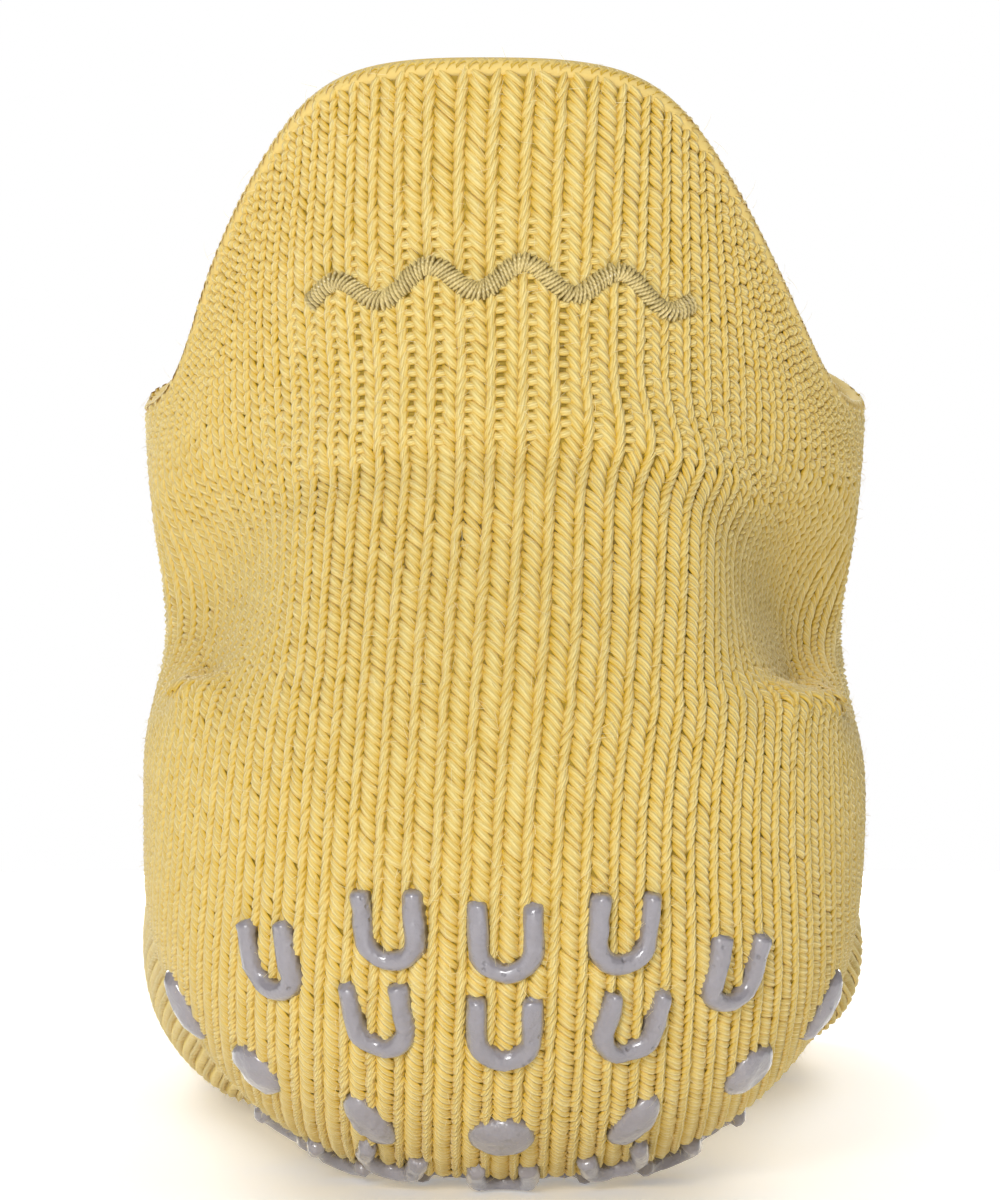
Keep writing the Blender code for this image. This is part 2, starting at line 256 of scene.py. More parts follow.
@dataclass
class Patch:
    """A tube of the softened form as a regular grid whose columns close round.

    Attributes:
        grid: Places, as rows by columns by three.
        step: Grid lines for each cell of the cage.
    """

    grid: Array
    step: int

    def at(self, column: Array, row: Array) -> Array:
        """Places on the tube.

        Args:
            column: Columns of the cage, which wrap round.
            row: Rows of the cage.

        Returns:
            One place for each pair.
        """
        rows, columns = self.grid.shape[:2]
        c = np.asarray(column, dtype=float) * self.step
        r = np.clip(np.asarray(row, dtype=float) * self.step, 0.0, rows - 1.0)
        c0 = np.floor(c).astype(int)
        r0 = np.minimum(np.floor(r).astype(int), rows - 2)
        cf = (c - c0)[..., None]
        rf = (r - r0)[..., None]
        left, right = c0 % columns, (c0 + 1) % columns
        low = self.grid[r0, left] * (1 - cf) + self.grid[r0, right] * cf
        high = self.grid[r0 + 1, left] * (1 - cf) + self.grid[r0 + 1, right] * cf
        return low * (1 - rf) + high * rf


@dataclass(frozen=True)
class Creases:
    """The knit's folds and hollows, in millimetres of the form's own frame.

    Levels are heights over the heel's turning line. The flank, and a pair named level or round, is a middle
    and a spread. The hollow and the setback are a depth and what the right side adds. The fold's bumps are
    a height, a place and a spread each, and the waves are pitches. Other pairs are where a change starts
    and where it ends.
    """

    axis: float = 0.5
    turn: float = 6.0
    back: Pair = (38.0, 54.0)
    tab_half: Pair = (13.0, 22.0)
    fold_height: float = 65.4
    fold_bow: float = 0.0085
    fold_bumps: tuple[Triple, ...] = (
        (-0.50, 0.0, 1.7),
        (0.35, -4.0, 2.8),
        (0.50, 3.2, 2.6),
    )
    line_height: float = 46.9
    line_drop: float = 1.0
    gentle: Pair = (-9.0, 4.0)
    crisp: Pair = (-0.9, 1.1)
    crisp_from: Pair = (24.0, 27.5)
    crisp_to: Pair = (28.5, 31.8)
    crisp_lean: float = 2.5
    heel_centre: float = 33.0
    flank: Pair = (82.0, 23.0)
    flank_fade: Pair = (34.0, 56.0)
    hollow: Pair = (3.2, 0.8)
    hollow_level: Pair = (4.0, 11.0)
    shoulder: Pair = (15.0, 27.0)
    shoulder_fade: Pair = (40.0, 62.0)
    setback: Pair = (7.0, 5.0)
    setback_level: Pair = (7.0, 9.5)
    dip: float = 1.1
    dip_round: Pair = (40.0, 14.0)
    dip_level: Pair = (6.0, 11.0)
    lip: float = 0.35
    lip_level: Pair = (-2.0, 1.7)
    wave: float = 0.25
    wave_across: Pair = (0.21, 0.13)
    wave_up: Triple = (0.16, 0.09, 1.0)
    wave_rise: Pair = (8.0, 20.0)
    tab_lean: float = 1.0
    tab_rise: Pair = (66.0, 92.0)
    slump: float = 1.5
    slump_level: Pair = (1.2, 1.6)


@dataclass
class SockForm:
    """The form of the worn sock, as a soft surface over a coarse cage."""

    length: float = 0.244
    ball_width: float = 0.085
    instep_height: float = 0.080
    sole_plane: float = 0.0013
    wall: float = 0.0018
    ring_points: int = 24
    toe_points: int = 8
    toe_root_width: float = 96.5
    toe_root_side_y: float = 79.0
    toe_root_heights: Triple = (1.8, 15.0, 31.5)
    root_corner: float = 0.95
    root_sole_curl: float = 0.12
    root_top_fall: float = 0.35
    root_top_lag: float = 0.02
    root_little_side: float = 0.9
    cage_swell: float = 1.10
    level: int = 3
    shift: Array = field(default_factory=lambda: np.zeros(3))
    chart_stride: int = 100
    creases: Creases = Creases()

    def ring(self, row: Ring) -> list[Vector]:
        """The cage's points on one ring, from the middle of the sole round the big toe's side."""
        points = []
        for index in range(self.ring_points):
            turn = index * 2 * math.pi / self.ring_points
            down, out = math.cos(turn), math.sin(turn)
            power = 2 / (row.sole_power if down > 0 else row.top_power)
            share = abs(down) ** power
            across = math.copysign(abs(out) ** power, out)
            end_y, end_z = (row.sole_y, row.sole_z) if down > 0 else (row.top_y, row.top_z)
            y = row.side_y + (end_y - row.side_y) * share - row.lag * (1 - across) / 2
            z = row.side_z + (end_z - row.side_z) * share
            if down > 0:
                z += row.arch * out * down * 2
            z += (RIM_HEIGHTS[min(index, self.ring_points - index)] - z) * row.rise
            x = (across * row.width / 2 + row.shift) * self.ball_width
            points.append(Vector((x, y * self.length, z * self.instep_height)) / 100)
        return points

    def toe_edges(self) -> list[Pair]:
        """The lines between the toe pockets, from the big toe's side."""
        width = self.ball_width * self.toe_root_width / 100
        x = width / 2
        edges = [(x, self.toe_root_side_y * self.length / 100)]
        for toe in TOES:
            x -= width * toe.root / 100
            edges.append((x, toe.web_y * self.length / 100))
        return edges

    def toe_root_ring(self) -> list[Vector]:
        """The ring that the toe pockets grow from."""
        top, medial, lateral = self.ring_points // 2, self.ring_points // 4, self.ring_points * 3 // 4
        sole_z, side_z, top_z = (share * self.instep_height / 100 for share in self.toe_root_heights)
        edges = self.toe_edges()
        lines = []
        for (x, y), (next_x, next_y) in zip(edges, edges[1:]):
            lines += [(x, y), ((x + next_x) / 2, (y + next_y) / 2)]
        lines.append(edges[-1])
        points = [Vector()] * self.ring_points
        half = len(lines) // 2
        for place, (x, y) in enumerate(lines):
            pair = half - place
            drop = abs(pair) / half
            inset = self.root_corner if abs(pair) == half else 1.0
            low_z = sole_z + self.root_sole_curl * side_z * drop**3
            high_z = top_z - (top_z - side_z) * self.root_top_fall * drop**2
            points[pair % self.ring_points] = Vector((x * inset, y, low_z))
            points[top - pair] = Vector((x * inset, y - self.root_top_lag * self.length, high_z))
        points[medial] = Vector((edges[0][0], edges[0][1], side_z))
        points[lateral] = Vector((edges[-1][0], edges[-1][1], side_z * self.root_little_side))
        return points

    def toe_ring(self, toe: Toe, root: Vector, share: float, girth: float) -> list[Vector]:
        """The cage's points on one ring of a toe pocket.

        Args:
            toe: The toe's row.
            root: Middle of the pocket's mouth.
            share: Share of the way to the tip.
            girth: Share of the pocket's full girth.

        Returns:
            The ring's points, from its upper corner at the big toe's side.
        """
        tip_x = root.x + toe.lean * self.ball_width / 100
        tip = Vector((tip_x, toe.tip_y * self.length / 100, toe.tip_z * self.instep_height / 100))
        middle = root.lerp(tip, share)
        swell = self.instep_height / 100 * self.cage_swell * girth
        points = []
        for index in range(self.toe_points):
            turn = math.pi / 4 + index * 2 * math.pi / self.toe_points
            offset = Vector((toe.half_width * math.cos(turn), 0.0, toe.half_height * math.sin(turn)))
            points.append(middle + offset * swell)
        return points

    def add_bands(
        self, cage: bmesh.types.BMesh, chart: bmesh.types.BMLayerItem, rings: list, start: int
    ) -> None:
        """Joins rings of the cage with quads that carry their column and row as a chart.

        Args:
            cage: The cage's mesh.
            chart: UV layer that holds the chart.
            rings: Rings of vertices.
            start: Column number of the first point.
        """
        for row, (near, far) in enumerate(zip(rings, rings[1:])):
            count = len(near)
            for index in range(count):
                after = (index + 1) % count
                face = cage.faces.new((near[index], far[index], far[after], near[after]))
                corners = ((index, row), (index, row + 1), (index + 1, row + 1), (index + 1, row))
                for loop, (u, v) in zip(face.loops, corners):
                    loop[chart].uv = (start + u, v)

    def add_toes(self, cage: bmesh.types.BMesh, chart: bmesh.types.BMLayerItem, root: list) -> None:
        """Grows the toe pockets out of the root ring, with the webs shared by neighbours."""
        top = self.ring_points // 2
        webs = [root[self.ring_points // 4]]
        for place in range(1, len(TOES)):
            pair = len(TOES) - 2 * place
            webs.append(cage.verts.new((root[pair].co + root[top - pair].co) / 2))
        webs.append(root[self.ring_points * 3 // 4])
        for place, toe in enumerate(TOES):
            high = len(TOES) - 2 * place
            middle, low = high - 1, high - 2
            mouth = [root[top - high], root[top - middle], root[top - low], webs[place + 1]]
            mouth += [root[low], root[middle], root[high], webs[place]]
            centre = sum((vertex.co for vertex in mouth), Vector()) / self.toe_points
            rings = [mouth]
            for share, girth in TOE_STATIONS:
                rings.append([cage.verts.new(point) for point in self.toe_ring(toe, centre, share, girth)])
            self.add_bands(cage, chart, rings, self.chart_stride * (place + 1))
            last = rings[-1]
            end = sum((vertex.co for vertex in last), Vector()) / self.toe_points
            tip = cage.verts.new((end.x, toe.tip_y * self.length / 100, end.z))
            for corner in range(0, self.toe_points, 2):
                after = (corner + 2) % self.toe_points
                face = cage.faces.new((last[corner], tip, last[after], last[corner + 1]))
                for loop in face.loops:
                    loop[chart].uv = (-self.chart_stride, 0.0)

    def softened(self, level: int) -> Mesh:
        """The form's outer face with a chart of columns and rows.

        Args:
            level: How often the cage is subdivided.

        Returns:
            The soft mesh, open at the collar.
        """
        cage = bmesh.new()
        chart = cage.loops.layers.uv.new("chart")
        places = [self.toe_root_ring()] + [self.ring(row) for row in RINGS]
        rings = [[cage.verts.new(point) for point in points] for points in places]
        self.add_toes(cage, chart, rings[0])
        self.add_bands(cage, chart, rings, 0)
        bmesh.ops.recalc_face_normals(cage, faces=cage.faces)
        mesh = bpy.data.meshes.new("form_cage")
        cage.to_mesh(mesh)
        cage.free()
        holder = link_object("form_cage", mesh)
        soften = holder.modifiers.new("soften", "SUBSURF")
        soften.levels = soften.render_levels = level
        soften.uv_smooth = "NONE"
        soft = evaluated_mesh(holder)
        bpy.data.objects.remove(holder)
        bpy.data.meshes.remove(mesh)
        places = vertex_array(soft)
        places[:, 2] = np.maximum(places[:, 2], self.sole_plane)
        move_vertices(soft, places)
        return soft

    def settle(self, node: str) -> None:
        """Finds the shift that lays the form over its solid's box."""
        low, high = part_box(node)
        places = vertex_array(self.softened(1))
        middle = (places.min(axis=0) + places.max(axis=0)) / 2
        self.shift = np.array([(low[0] + high[0]) / 2 - middle[0], (low[1] + high[1]) / 2 - middle[1], 0.0])

    def relief(self, places: Array, normals: Array) -> Array:
        """The form's places with the knit's folds and hollows.

        The tab folds where it meets the heel. At both sides the ankle is hollow above the heel's turning
        line, the sides stand back there, and the knit slumps behind a soft lip.

        Args:
            places: Places in the form's own frame.
            normals: The form's normals there.

        Returns:
            The moved places.
        """
        size = self.creases
        x, y, z = (places[:, axis] / MM for axis in range(3))
        wide = np.abs(x - size.axis)
        right = 0.5 + 0.5 * np.tanh(x / size.turn)
        back = 1.0 - soft_step(*size.back, y)
        middle = 1.0 - soft_step(*size.tab_half, np.abs(x))
        line = size.line_height - size.line_drop * right

        def level(place: Pair) -> Array:
            """A bump at a height over the turning line."""
            return bell(z, line + place[0], place[1])

        crease = z - size.fold_height + size.fold_bow * x * x
        fold = sum(height * bell(crease, place, spread) for height, place, spread in size.fold_bumps)
        gentle = soft_step(*size.gentle, z - line)
        crisp = soft_step(*size.crisp_from, wide + size.crisp_lean * right)
        crisp = crisp * (1.0 - soft_step(*size.crisp_to, wide))
        above = gentle + (soft_step(*size.crisp, z - line) - gentle) * crisp
        round_heel = np.degrees(np.arctan2(wide, size.heel_centre - y))
        flank = bell(round_heel, *size.flank) * (1.0 - soft_step(*size.flank_fade, y))
        hollow = -(size.hollow[0] + size.hollow[1] * right) * flank * level(size.hollow_level) * above
        shoulder = soft_step(*size.shoulder, wide) * (1.0 - soft_step(*size.shoulder_fade, y))
        setback = (size.setback[0] + size.setback[1] * right) * shoulder * level(size.setback_level) * above
        dip = size.dip * bell(round_heel, *size.dip_round) * level(size.dip_level)
        lip = size.lip * level(size.lip_level) * crisp
        wave = size.wave * np.sin(size.wave_across[0] * x + size.wave_across[1] * z)
        wave = wave * np.sin(size.wave_up[0] * z - size.wave_up[1] * x + size.wave_up[2])
        wave = wave * soft_step(*size.wave_rise, z)
        moved = places + normals * ((back * (middle * fold + dip + lip + wave) + hollow) * MM)[:, None]
        moved[:, 0] -= size.tab_lean * MM * back * soft_step(*size.tab_rise, z)
        moved[:, 1] += setback * MM
        moved[:, 2] -= size.slump * MM * back * crisp * flank * level(size.slump_level)
        return moved

    def patches(self) -> tuple[Patch, list[Patch], Mesh]:
        """The tubes of the form, with its relief.

        Returns:
            The body's tube, the toes' tubes and the soft mesh they come from, all in the solids' frame.
        """
        soft = self.softened(self.level)
        places = self.relief(vertex_array(soft), normal_array(soft))
        places[:, 2] = np.maximum(places[:, 2], self.sole_plane)
        places += self.shift
        move_vertices(soft, places)
        step = 2**self.level
        corners, chart = corner_chart(soft)
        lines = np.rint(chart * step).astype(int)
        slack = 1e-6
        zone = np.floor(chart[:, 0] / self.chart_stride + slack).astype(int)
        body = self.tube(lines, zone == 0, corners, places, 0, self.ring_points, len(RINGS), step)
        toes = []
        for place in range(1, len(TOES) + 1):
            start, rows = self.chart_stride * place, len(TOE_STATIONS)
            toes.append(self.tube(lines, zone == place, corners, places, start, self.toe_points, rows, step))
        return body, toes, soft

    @staticmethod
    def tube(
        lines: Array,
        chosen: Array,
        corners: Array,
        places: Array,
        start: int,
        columns: int,
        rows: int,
        step: int,
    ) -> Patch:
        """One tube read from the chart of the soft mesh.

        Args:
            lines: Grid line numbers of each face corner.
            chosen: Which corners belong to the tube.
            corners: Vertex of each corner.
            places: Places of the vertices.
            start: Column number of the tube's first point.
            columns: Cage columns round the tube.
            rows: Cage rows along it.
            step: Grid lines for each cell.

        Returns:
            The tube as a grid.
        """
        grid = np.zeros((rows * step + 1, columns * step, 3))
        column = (lines[chosen, 0] - start * step) % (columns * step)
        grid[lines[chosen, 1], column] = places[corners[chosen]]
        return Patch(grid, step)


class TreeMaker:
    """Builds a node tree node by node."""

    def __init__(self, tree: NodeTree) -> None:
        """Starts on an empty tree."""
        self.tree = tree
        self.tree.nodes.clear()

    def add(self, kind: str, inputs: dict | None = None, **settings: object) -> Node:
        """Adds a node.

        Args:
            kind: The node's type name.
            inputs: Values or output sockets for its inputs, by name or number.
            **settings: Properties of the node.

        Returns:
            The new node.
        """
        node = self.tree.nodes.new(kind)
        for name, value in settings.items():
            setattr(node, name, value)
        for key, value in (inputs or {}).items():
            socket = node.inputs[key]
            if isinstance(value, NodeSocket):
                self.tree.links.new(value, socket)
            else:
                socket.default_value = value
        return node

    def math(
        self, operation: str, first: object, second: object = 0.0, third: object = 0.0
    ) -> NodeSocket:
        """The result of one sum."""
        node = self.add("ShaderNodeMath", {0: first, 1: second, 2: third}, operation=operation)
        return node.outputs[0]

    def vector(self, operation: str, first: object, second: object) -> NodeSocket:
        """The result of one sum on a vector and another, or a number where it is scaled."""
        key = "Scale" if operation == "SCALE" else 1
        return self.add("ShaderNodeVectorMath", {0: first, key: second}, operation=operation).outputs[0]

    def combine(self, x: object, y: object, z: object) -> NodeSocket:
        """A vector from three numbers."""
        return self.add("ShaderNodeCombineXYZ", {0: x, 1: y, 2: z}).outputs[0]

    def split(self, vector: object) -> tuple[NodeSocket, ...]:
        """The three numbers of a vector."""
        return tuple(self.add("ShaderNodeSeparateXYZ", {0: vector}).outputs)

    def mix(self, share: object, low: object, high: object) -> NodeSocket:
        """A colour between two others."""
        node = self.add("ShaderNodeMix", {0: share, 6: low, 7: high}, data_type="RGBA", clamp_factor=True)
        return node.outputs[2]

    def noise(self, place: object, scale: float, detail: float) -> Node:
        """A noise over some places."""
        return self.add("ShaderNodeTexNoise", {"Vector": place, "Scale": scale, "Detail": detail})

    def attribute(self, name: str, kind: str = "FLOAT_VECTOR") -> NodeSocket:
        """A named attribute of a Geometry Nodes tree's points."""
        return self.add("GeometryNodeInputNamedAttribute", {"Name": name}, data_type=kind).outputs[0]

    def turn(self, normal: object, ahead: object) -> NodeSocket:
        """The rotation that lays Z on a normal and Y ahead."""
        node = self.add(
            "FunctionNodeAxesToRotation",
            {"Primary Axis": normal, "Secondary Axis": ahead},
            primary_axis="Z",
            secondary_axis="Y",
        )
        return node.outputs[0]

    def hand_over(self, geometry: object, finish: object) -> None:
        """Ends a Geometry Nodes tree with smooth faces in one material."""
        smooth = self.add("GeometryNodeSetShadeSmooth", {0: geometry})
        dressed = self.add("GeometryNodeSetMaterial", {"Geometry": smooth.outputs[0], "Material": finish})
        self.add("NodeGroupOutput", {0: dressed.outputs[0]})

    def show(self, shader: Node) -> None:
        """Ends a material with its shader."""
        self.add("ShaderNodeOutputMaterial", {0: shader.outputs[0]})

    def principled(self, look: dict) -> None:
        """Ends a material with a Principled BSDF."""
        self.show(self.add("ShaderNodeBsdfPrincipled", look))


def add_input(tree: NodeTree, name: str, kind: str, value: object = None) -> str:
    """Adds a named input to a Geometry Nodes tree and gives its identifier."""
    socket = tree.interface.new_socket(name, in_out="INPUT", socket_type="NodeSocket" + kind)
    if value is not None:
        socket.default_value = value
    return socket.identifier


def new_material(name: str) -> tuple[Material, TreeMaker]:
    """A material, and the maker of its node tree."""
    material = bpy.data.materials.new(name)
    material.use_nodes = True
    return material, TreeMaker(material.node_tree)


class LegTree:
    """A Geometry Nodes tree that lays one leg of a knitted loop on each point of a mesh."""

    TAPER = 0.34
    DIP = 0.85
    DOME = 0.6
    SINK = 1.25

    def __init__(self) -> None:
        """Builds the tree."""
        self.tree = bpy.data.node_groups.new("knit_legs", "GeometryNodeTree")
        add_input(self.tree, "Points", "Geometry")
        self.across = add_input(self.tree, "Lines across", "Int", 4)
        self.along = add_input(self.tree, "Lines along", "Int", 5)
        add_input(self.tree, "End taper", "Float", self.TAPER)
        add_input(self.tree, "End dip", "Float", self.DIP)
        self.finish = add_input(self.tree, "Yarn", "Material")
        self.tree.interface.new_socket("Legs", in_out="OUTPUT", socket_type="NodeSocketGeometry")
        self.build()

    def build(self) -> None:
        """Adds the nodes: a domed leg, laid along its axis on the knit's normal."""
        make = TreeMaker(self.tree)
        points, lines_across, lines_along, taper, dip, finish = make.add("NodeGroupInput").outputs[:6]
        grid = make.add(
            "GeometryNodeMeshGrid",
            {"Size X": 1.0, "Size Y": 1.0, "Vertices X": lines_across, "Vertices Y": lines_along},
        )
        mapped = make.add(
            "GeometryNodeStoreNamedAttribute",
            {"Geometry": grid.outputs["Mesh"], "Name": "strand", "Value": grid.outputs["UV Map"]},
            data_type="FLOAT2",
            domain="CORNER",
        )
        x, y, _ = make.split(make.add("GeometryNodeInputPosition").outputs[0])
        across = make.math("MULTIPLY", x, 2.0)
        along = make.math("MULTIPLY", y, 2.0)
        along_squared = make.math("MULTIPLY", along, along)
        narrow = make.math("SUBTRACT", 1.0, make.math("MULTIPLY", along_squared, taper))
        arch = make.math("SUBTRACT", 1.0, make.math("MULTIPLY", along_squared, dip))
        dome = make.math("SUBTRACT", 1.0, make.math("MULTIPLY", across, across))
        height = make.math("ADD", make.math("MULTIPLY", dome, self.DOME), arch)
        height = make.math("SUBTRACT", height, self.SINK)
        shaped = make.combine(make.math("MULTIPLY", x, narrow), y, height)
        leg = make.add("GeometryNodeSetPosition", {"Geometry": mapped.outputs[0], "Position": shaped})
        laid = make.add(
            "GeometryNodeInstanceOnPoints",
            {
                "Points": points,
                "Instance": leg.outputs[0],
                "Rotation": make.turn(make.attribute("leg_normal"), make.attribute("leg_axis")),
                "Scale": make.attribute("leg_size"),
            },
        )
        real = make.add("GeometryNodeRealizeInstances", {0: laid.outputs[0]})
        make.hand_over(real.outputs[0], finish)

    def lay(self, name: str, legs: Legs, fineness: Fineness, yarn: Material) -> Object:
        """Makes a piece of knit from its legs.

        Args:
            name: The piece's name.
            legs: Places, axes, normals and sizes of its legs.
            fineness: How many faces a leg has.
            yarn: The yarn's material.

        Returns:
            The piece, as a plain mesh.
        """
        vectors = {"leg_normal": legs.normals, "leg_axis": legs.axes, "leg_size": legs.sizes}
        points = point_mesh(name + "_points", legs.places.tolist(), vectors)
        tint = points.attributes.new("tint", "FLOAT", "POINT")
        tint.data.foreach_set("value", legs.tints.astype(np.float32))
        across, along = fineness.value
        values = {self.across: across, self.along: along, self.finish: yarn}
        mesh = run_tree(name, points, self.tree, values)
        drop_attributes(mesh, *vectors)
        return link_object(name, mesh)


@dataclass(frozen=True)
class LegShape:
    """One of a loop's two legs.

    Attributes:
        side: -1 for the left leg and 1 for the right.
        share: Share of the wale's width that it takes.
        lean: Its angle to the course.
        reach: Its length, as a share of what would span its width.
        width: Its thickness.
        lift: How far it stands proud.
        open_share: Share of the wale's width where the loop is pulled open.
        open_lean: Its angle to the course there.
    """

    side: float
    share: float
    lean: float
    reach: float
    width: float
    lift: float
    open_share: float
    open_lean: float


LEFT_LEG = LegShape(-1.0, 0.38, math.radians(70), 0.82, 0.68 * MM, 0.68 * MM, 0.32, math.radians(76))
RIGHT_LEG = LegShape(1.0, 0.61, math.radians(48), 1.04, 0.82 * MM, 0.62 * MM, 0.38, math.radians(62))


class Fineness(Enum):
    """Lines across and along one leg of a loop."""

    FINE = (4, 5)
    PLAIN = (3, 3)


@dataclass
class Legs:
    """Legs of knitted loops."""

    places: Array
    normals: Array
    axes: Array
    sizes: Array
    tints: Array

    @staticmethod
    def joined(groups: list[Legs]) -> Legs:
        """All the legs of several groups as one."""
        names = ("places", "normals", "axes", "sizes", "tints")
        return Legs(*(np.concatenate([getattr(group, name) for group in groups]) for name in names))


@dataclass
class LoopFrames:
    """Where the loops of one wale lie, one row for each loop.

    A loop has a middle, directions, the wale's width, its own length and how far it is pulled open.
    """

    place: Array
    normal: Array
    side: Array
    up: Array
    width: Array
    pitch: Array
    opened: Array


@dataclass
class Loops:
    """How a knitted loop lies: two legs that lean together into an inverted V.

    A stray is how uneven something is. The tint follows the thickness and the height. A rung shows where
    a loop is pulled open, and its tint is a middle and a stray.
    """

    course: float = 0.80 * MM
    sink: float = 0.02 * MM
    pitch_power: float = 0.6
    lean_stray: float = 0.07
    side_stray: float = 0.03 * MM
    along_stray: float = 0.05 * MM
    width_stray: float = 0.06
    lift_stray: float = 0.07
    tint_middle: float = 0.5
    tint_stray: Pair = (0.22, 0.1)
    rung_width: float = 0.74 * MM
    rung_lift: float = 0.50 * MM
    rung_share: float = 0.50
    rung_from: float = 0.10
    rung_stray: float = 0.10
    rung_tint: Pair = (0.6, 0.2)
    seed: int = 7

    def __post_init__(self) -> None:
        """Seeds the small unevenness of hand and machine."""
        self.random = np.random.default_rng(self.seed)

    def along(
        self,
        line: Array,
        normals: Array,
        across: Array,
        course: Array | float,
        from_end: bool,
        pull: Array | float = 0.0,
    ) -> Legs:
        """Legs of the loops of one wale.

        Args:
            line: Places along the wale, closely spaced.
            normals: The knit's normals there.
            across: Vectors across the wale, as long as the wale is wide.
            course: Length of one loop along the wale, for the whole of it or at each place.
            from_end: Whether the loops point back along the line.
            pull: How far the loops are pulled open, from 0 to 1.

        Returns:
            Two legs for each loop, and a rung where it is pulled open.
        """
        steps = np.linalg.norm(np.diff(line, axis=0), axis=1)
        reach = running(steps)
        course = np.broadcast_to(course, reach.shape)
        tally = running(steps * 2 / (course[1:] + course[:-1]))
        count = max(int(round(tally[-1])), 1)
        stops = np.interp((np.arange(count) + 0.5) * tally[-1] / count, tally, reach)
        pitch = np.interp(stops, reach, course)
        opened = np.interp(stops, reach, np.broadcast_to(pull, reach.shape))
        sample = partial(read_along, stops, reach)
        place, normal, wide = sample(line), unit(sample(normals)), sample(across)
        ahead = unit(sample(np.gradient(line, axis=0)))
        if from_end:
            ahead = -ahead
        wide = wide - normal * np.sum(wide * normal, axis=1, keepdims=True)
        wide = wide - ahead * np.sum(wide * ahead, axis=1, keepdims=True)
        side = unit(wide)
        up = np.cross(normal, side)
        up *= np.sign(np.sum(up * ahead, axis=1, keepdims=True))
        loops = LoopFrames(place, normal, side, up, np.linalg.norm(wide, axis=1), pitch, opened)
        groups = [self.legs(leg, loops) for leg in (LEFT_LEG, RIGHT_LEG)]
        shown = opened > self.rung_from
        if shown.any():
            groups.append(self.rungs(loops, shown))
        return Legs.joined(groups)

    def legs(self, leg: LegShape, loops: LoopFrames) -> Legs:
        """One leg of each loop.

        Args:
            leg: Which of the two legs.
            loops: Where the loops lie.

        Returns:
            The legs.
        """
        jitter = self.random.normal(0.0, 1.0, (len(loops.width), 5))
        share = leg.share + (leg.open_share - leg.share) * loops.opened
        lean = leg.lean + (leg.open_lean - leg.lean) * loops.opened
        angle = lean + self.lean_stray * jitter[:, 0]
        axis = loops.side * np.cos(angle)[:, None] - leg.side * loops.up * np.sin(angle)[:, None]
        offset = leg.side * 0.5 * (1.0 - share) * loops.width
        at = loops.place + loops.side * (offset + self.side_stray * jitter[:, 1])[:, None]
        at = at + loops.up * (self.along_stray * jitter[:, 2])[:, None] - loops.normal * self.sink
        length = share * loops.width / np.cos(lean) * leg.reach
        swell = (loops.pitch / self.course) ** self.pitch_power
        thick = leg.width * swell * (1.0 + self.width_stray * jitter[:, 3])
        high = leg.lift * (1.0 + self.lift_stray * jitter[:, 4])
        by_thick, by_high = self.tint_stray
        tints = np.clip(self.tint_middle + by_thick * jitter[:, 3] + by_high * jitter[:, 4], 0.0, 1.0)
        return Legs(at, loops.normal, axis, np.stack([thick, length, high], axis=1), tints)

    def rungs(self, loops: LoopFrames, shown: Array) -> Legs:
        """The rungs of loops that are pulled open.

        Args:
            loops: Where the loops lie.
            shown: Which of them show a rung.

        Returns:
            The rungs, as legs across the wale.
        """
        jitter = self.random.normal(0.0, 1.0, (int(shown.sum()), 2))
        normal, side, width = loops.normal[shown], loops.side[shown], loops.width[shown]
        middle = 0.5 * (LEFT_LEG.open_share - RIGHT_LEG.open_share) * width
        at = loops.place[shown] + side * middle[:, None] - normal * self.sink
        axis = unit(side + loops.up[shown] * (self.rung_stray * jitter[:, :1]))
        thick = self.rung_width * (1.0 + self.rung_stray * jitter[:, 1])
        sizes = np.stack([thick, self.rung_share * width, np.full_like(thick, self.rung_lift)], axis=1)
        tint, stray = self.rung_tint
        tints = np.clip(tint + stray * jitter[:, 1], 0.0, 1.0)
        return Legs(at, normal, axis, sizes, tints)


class Side(Enum):
    """Halves of the sock's tube, by their columns."""

    SOLE = "sole"
    INSTEP = "instep"


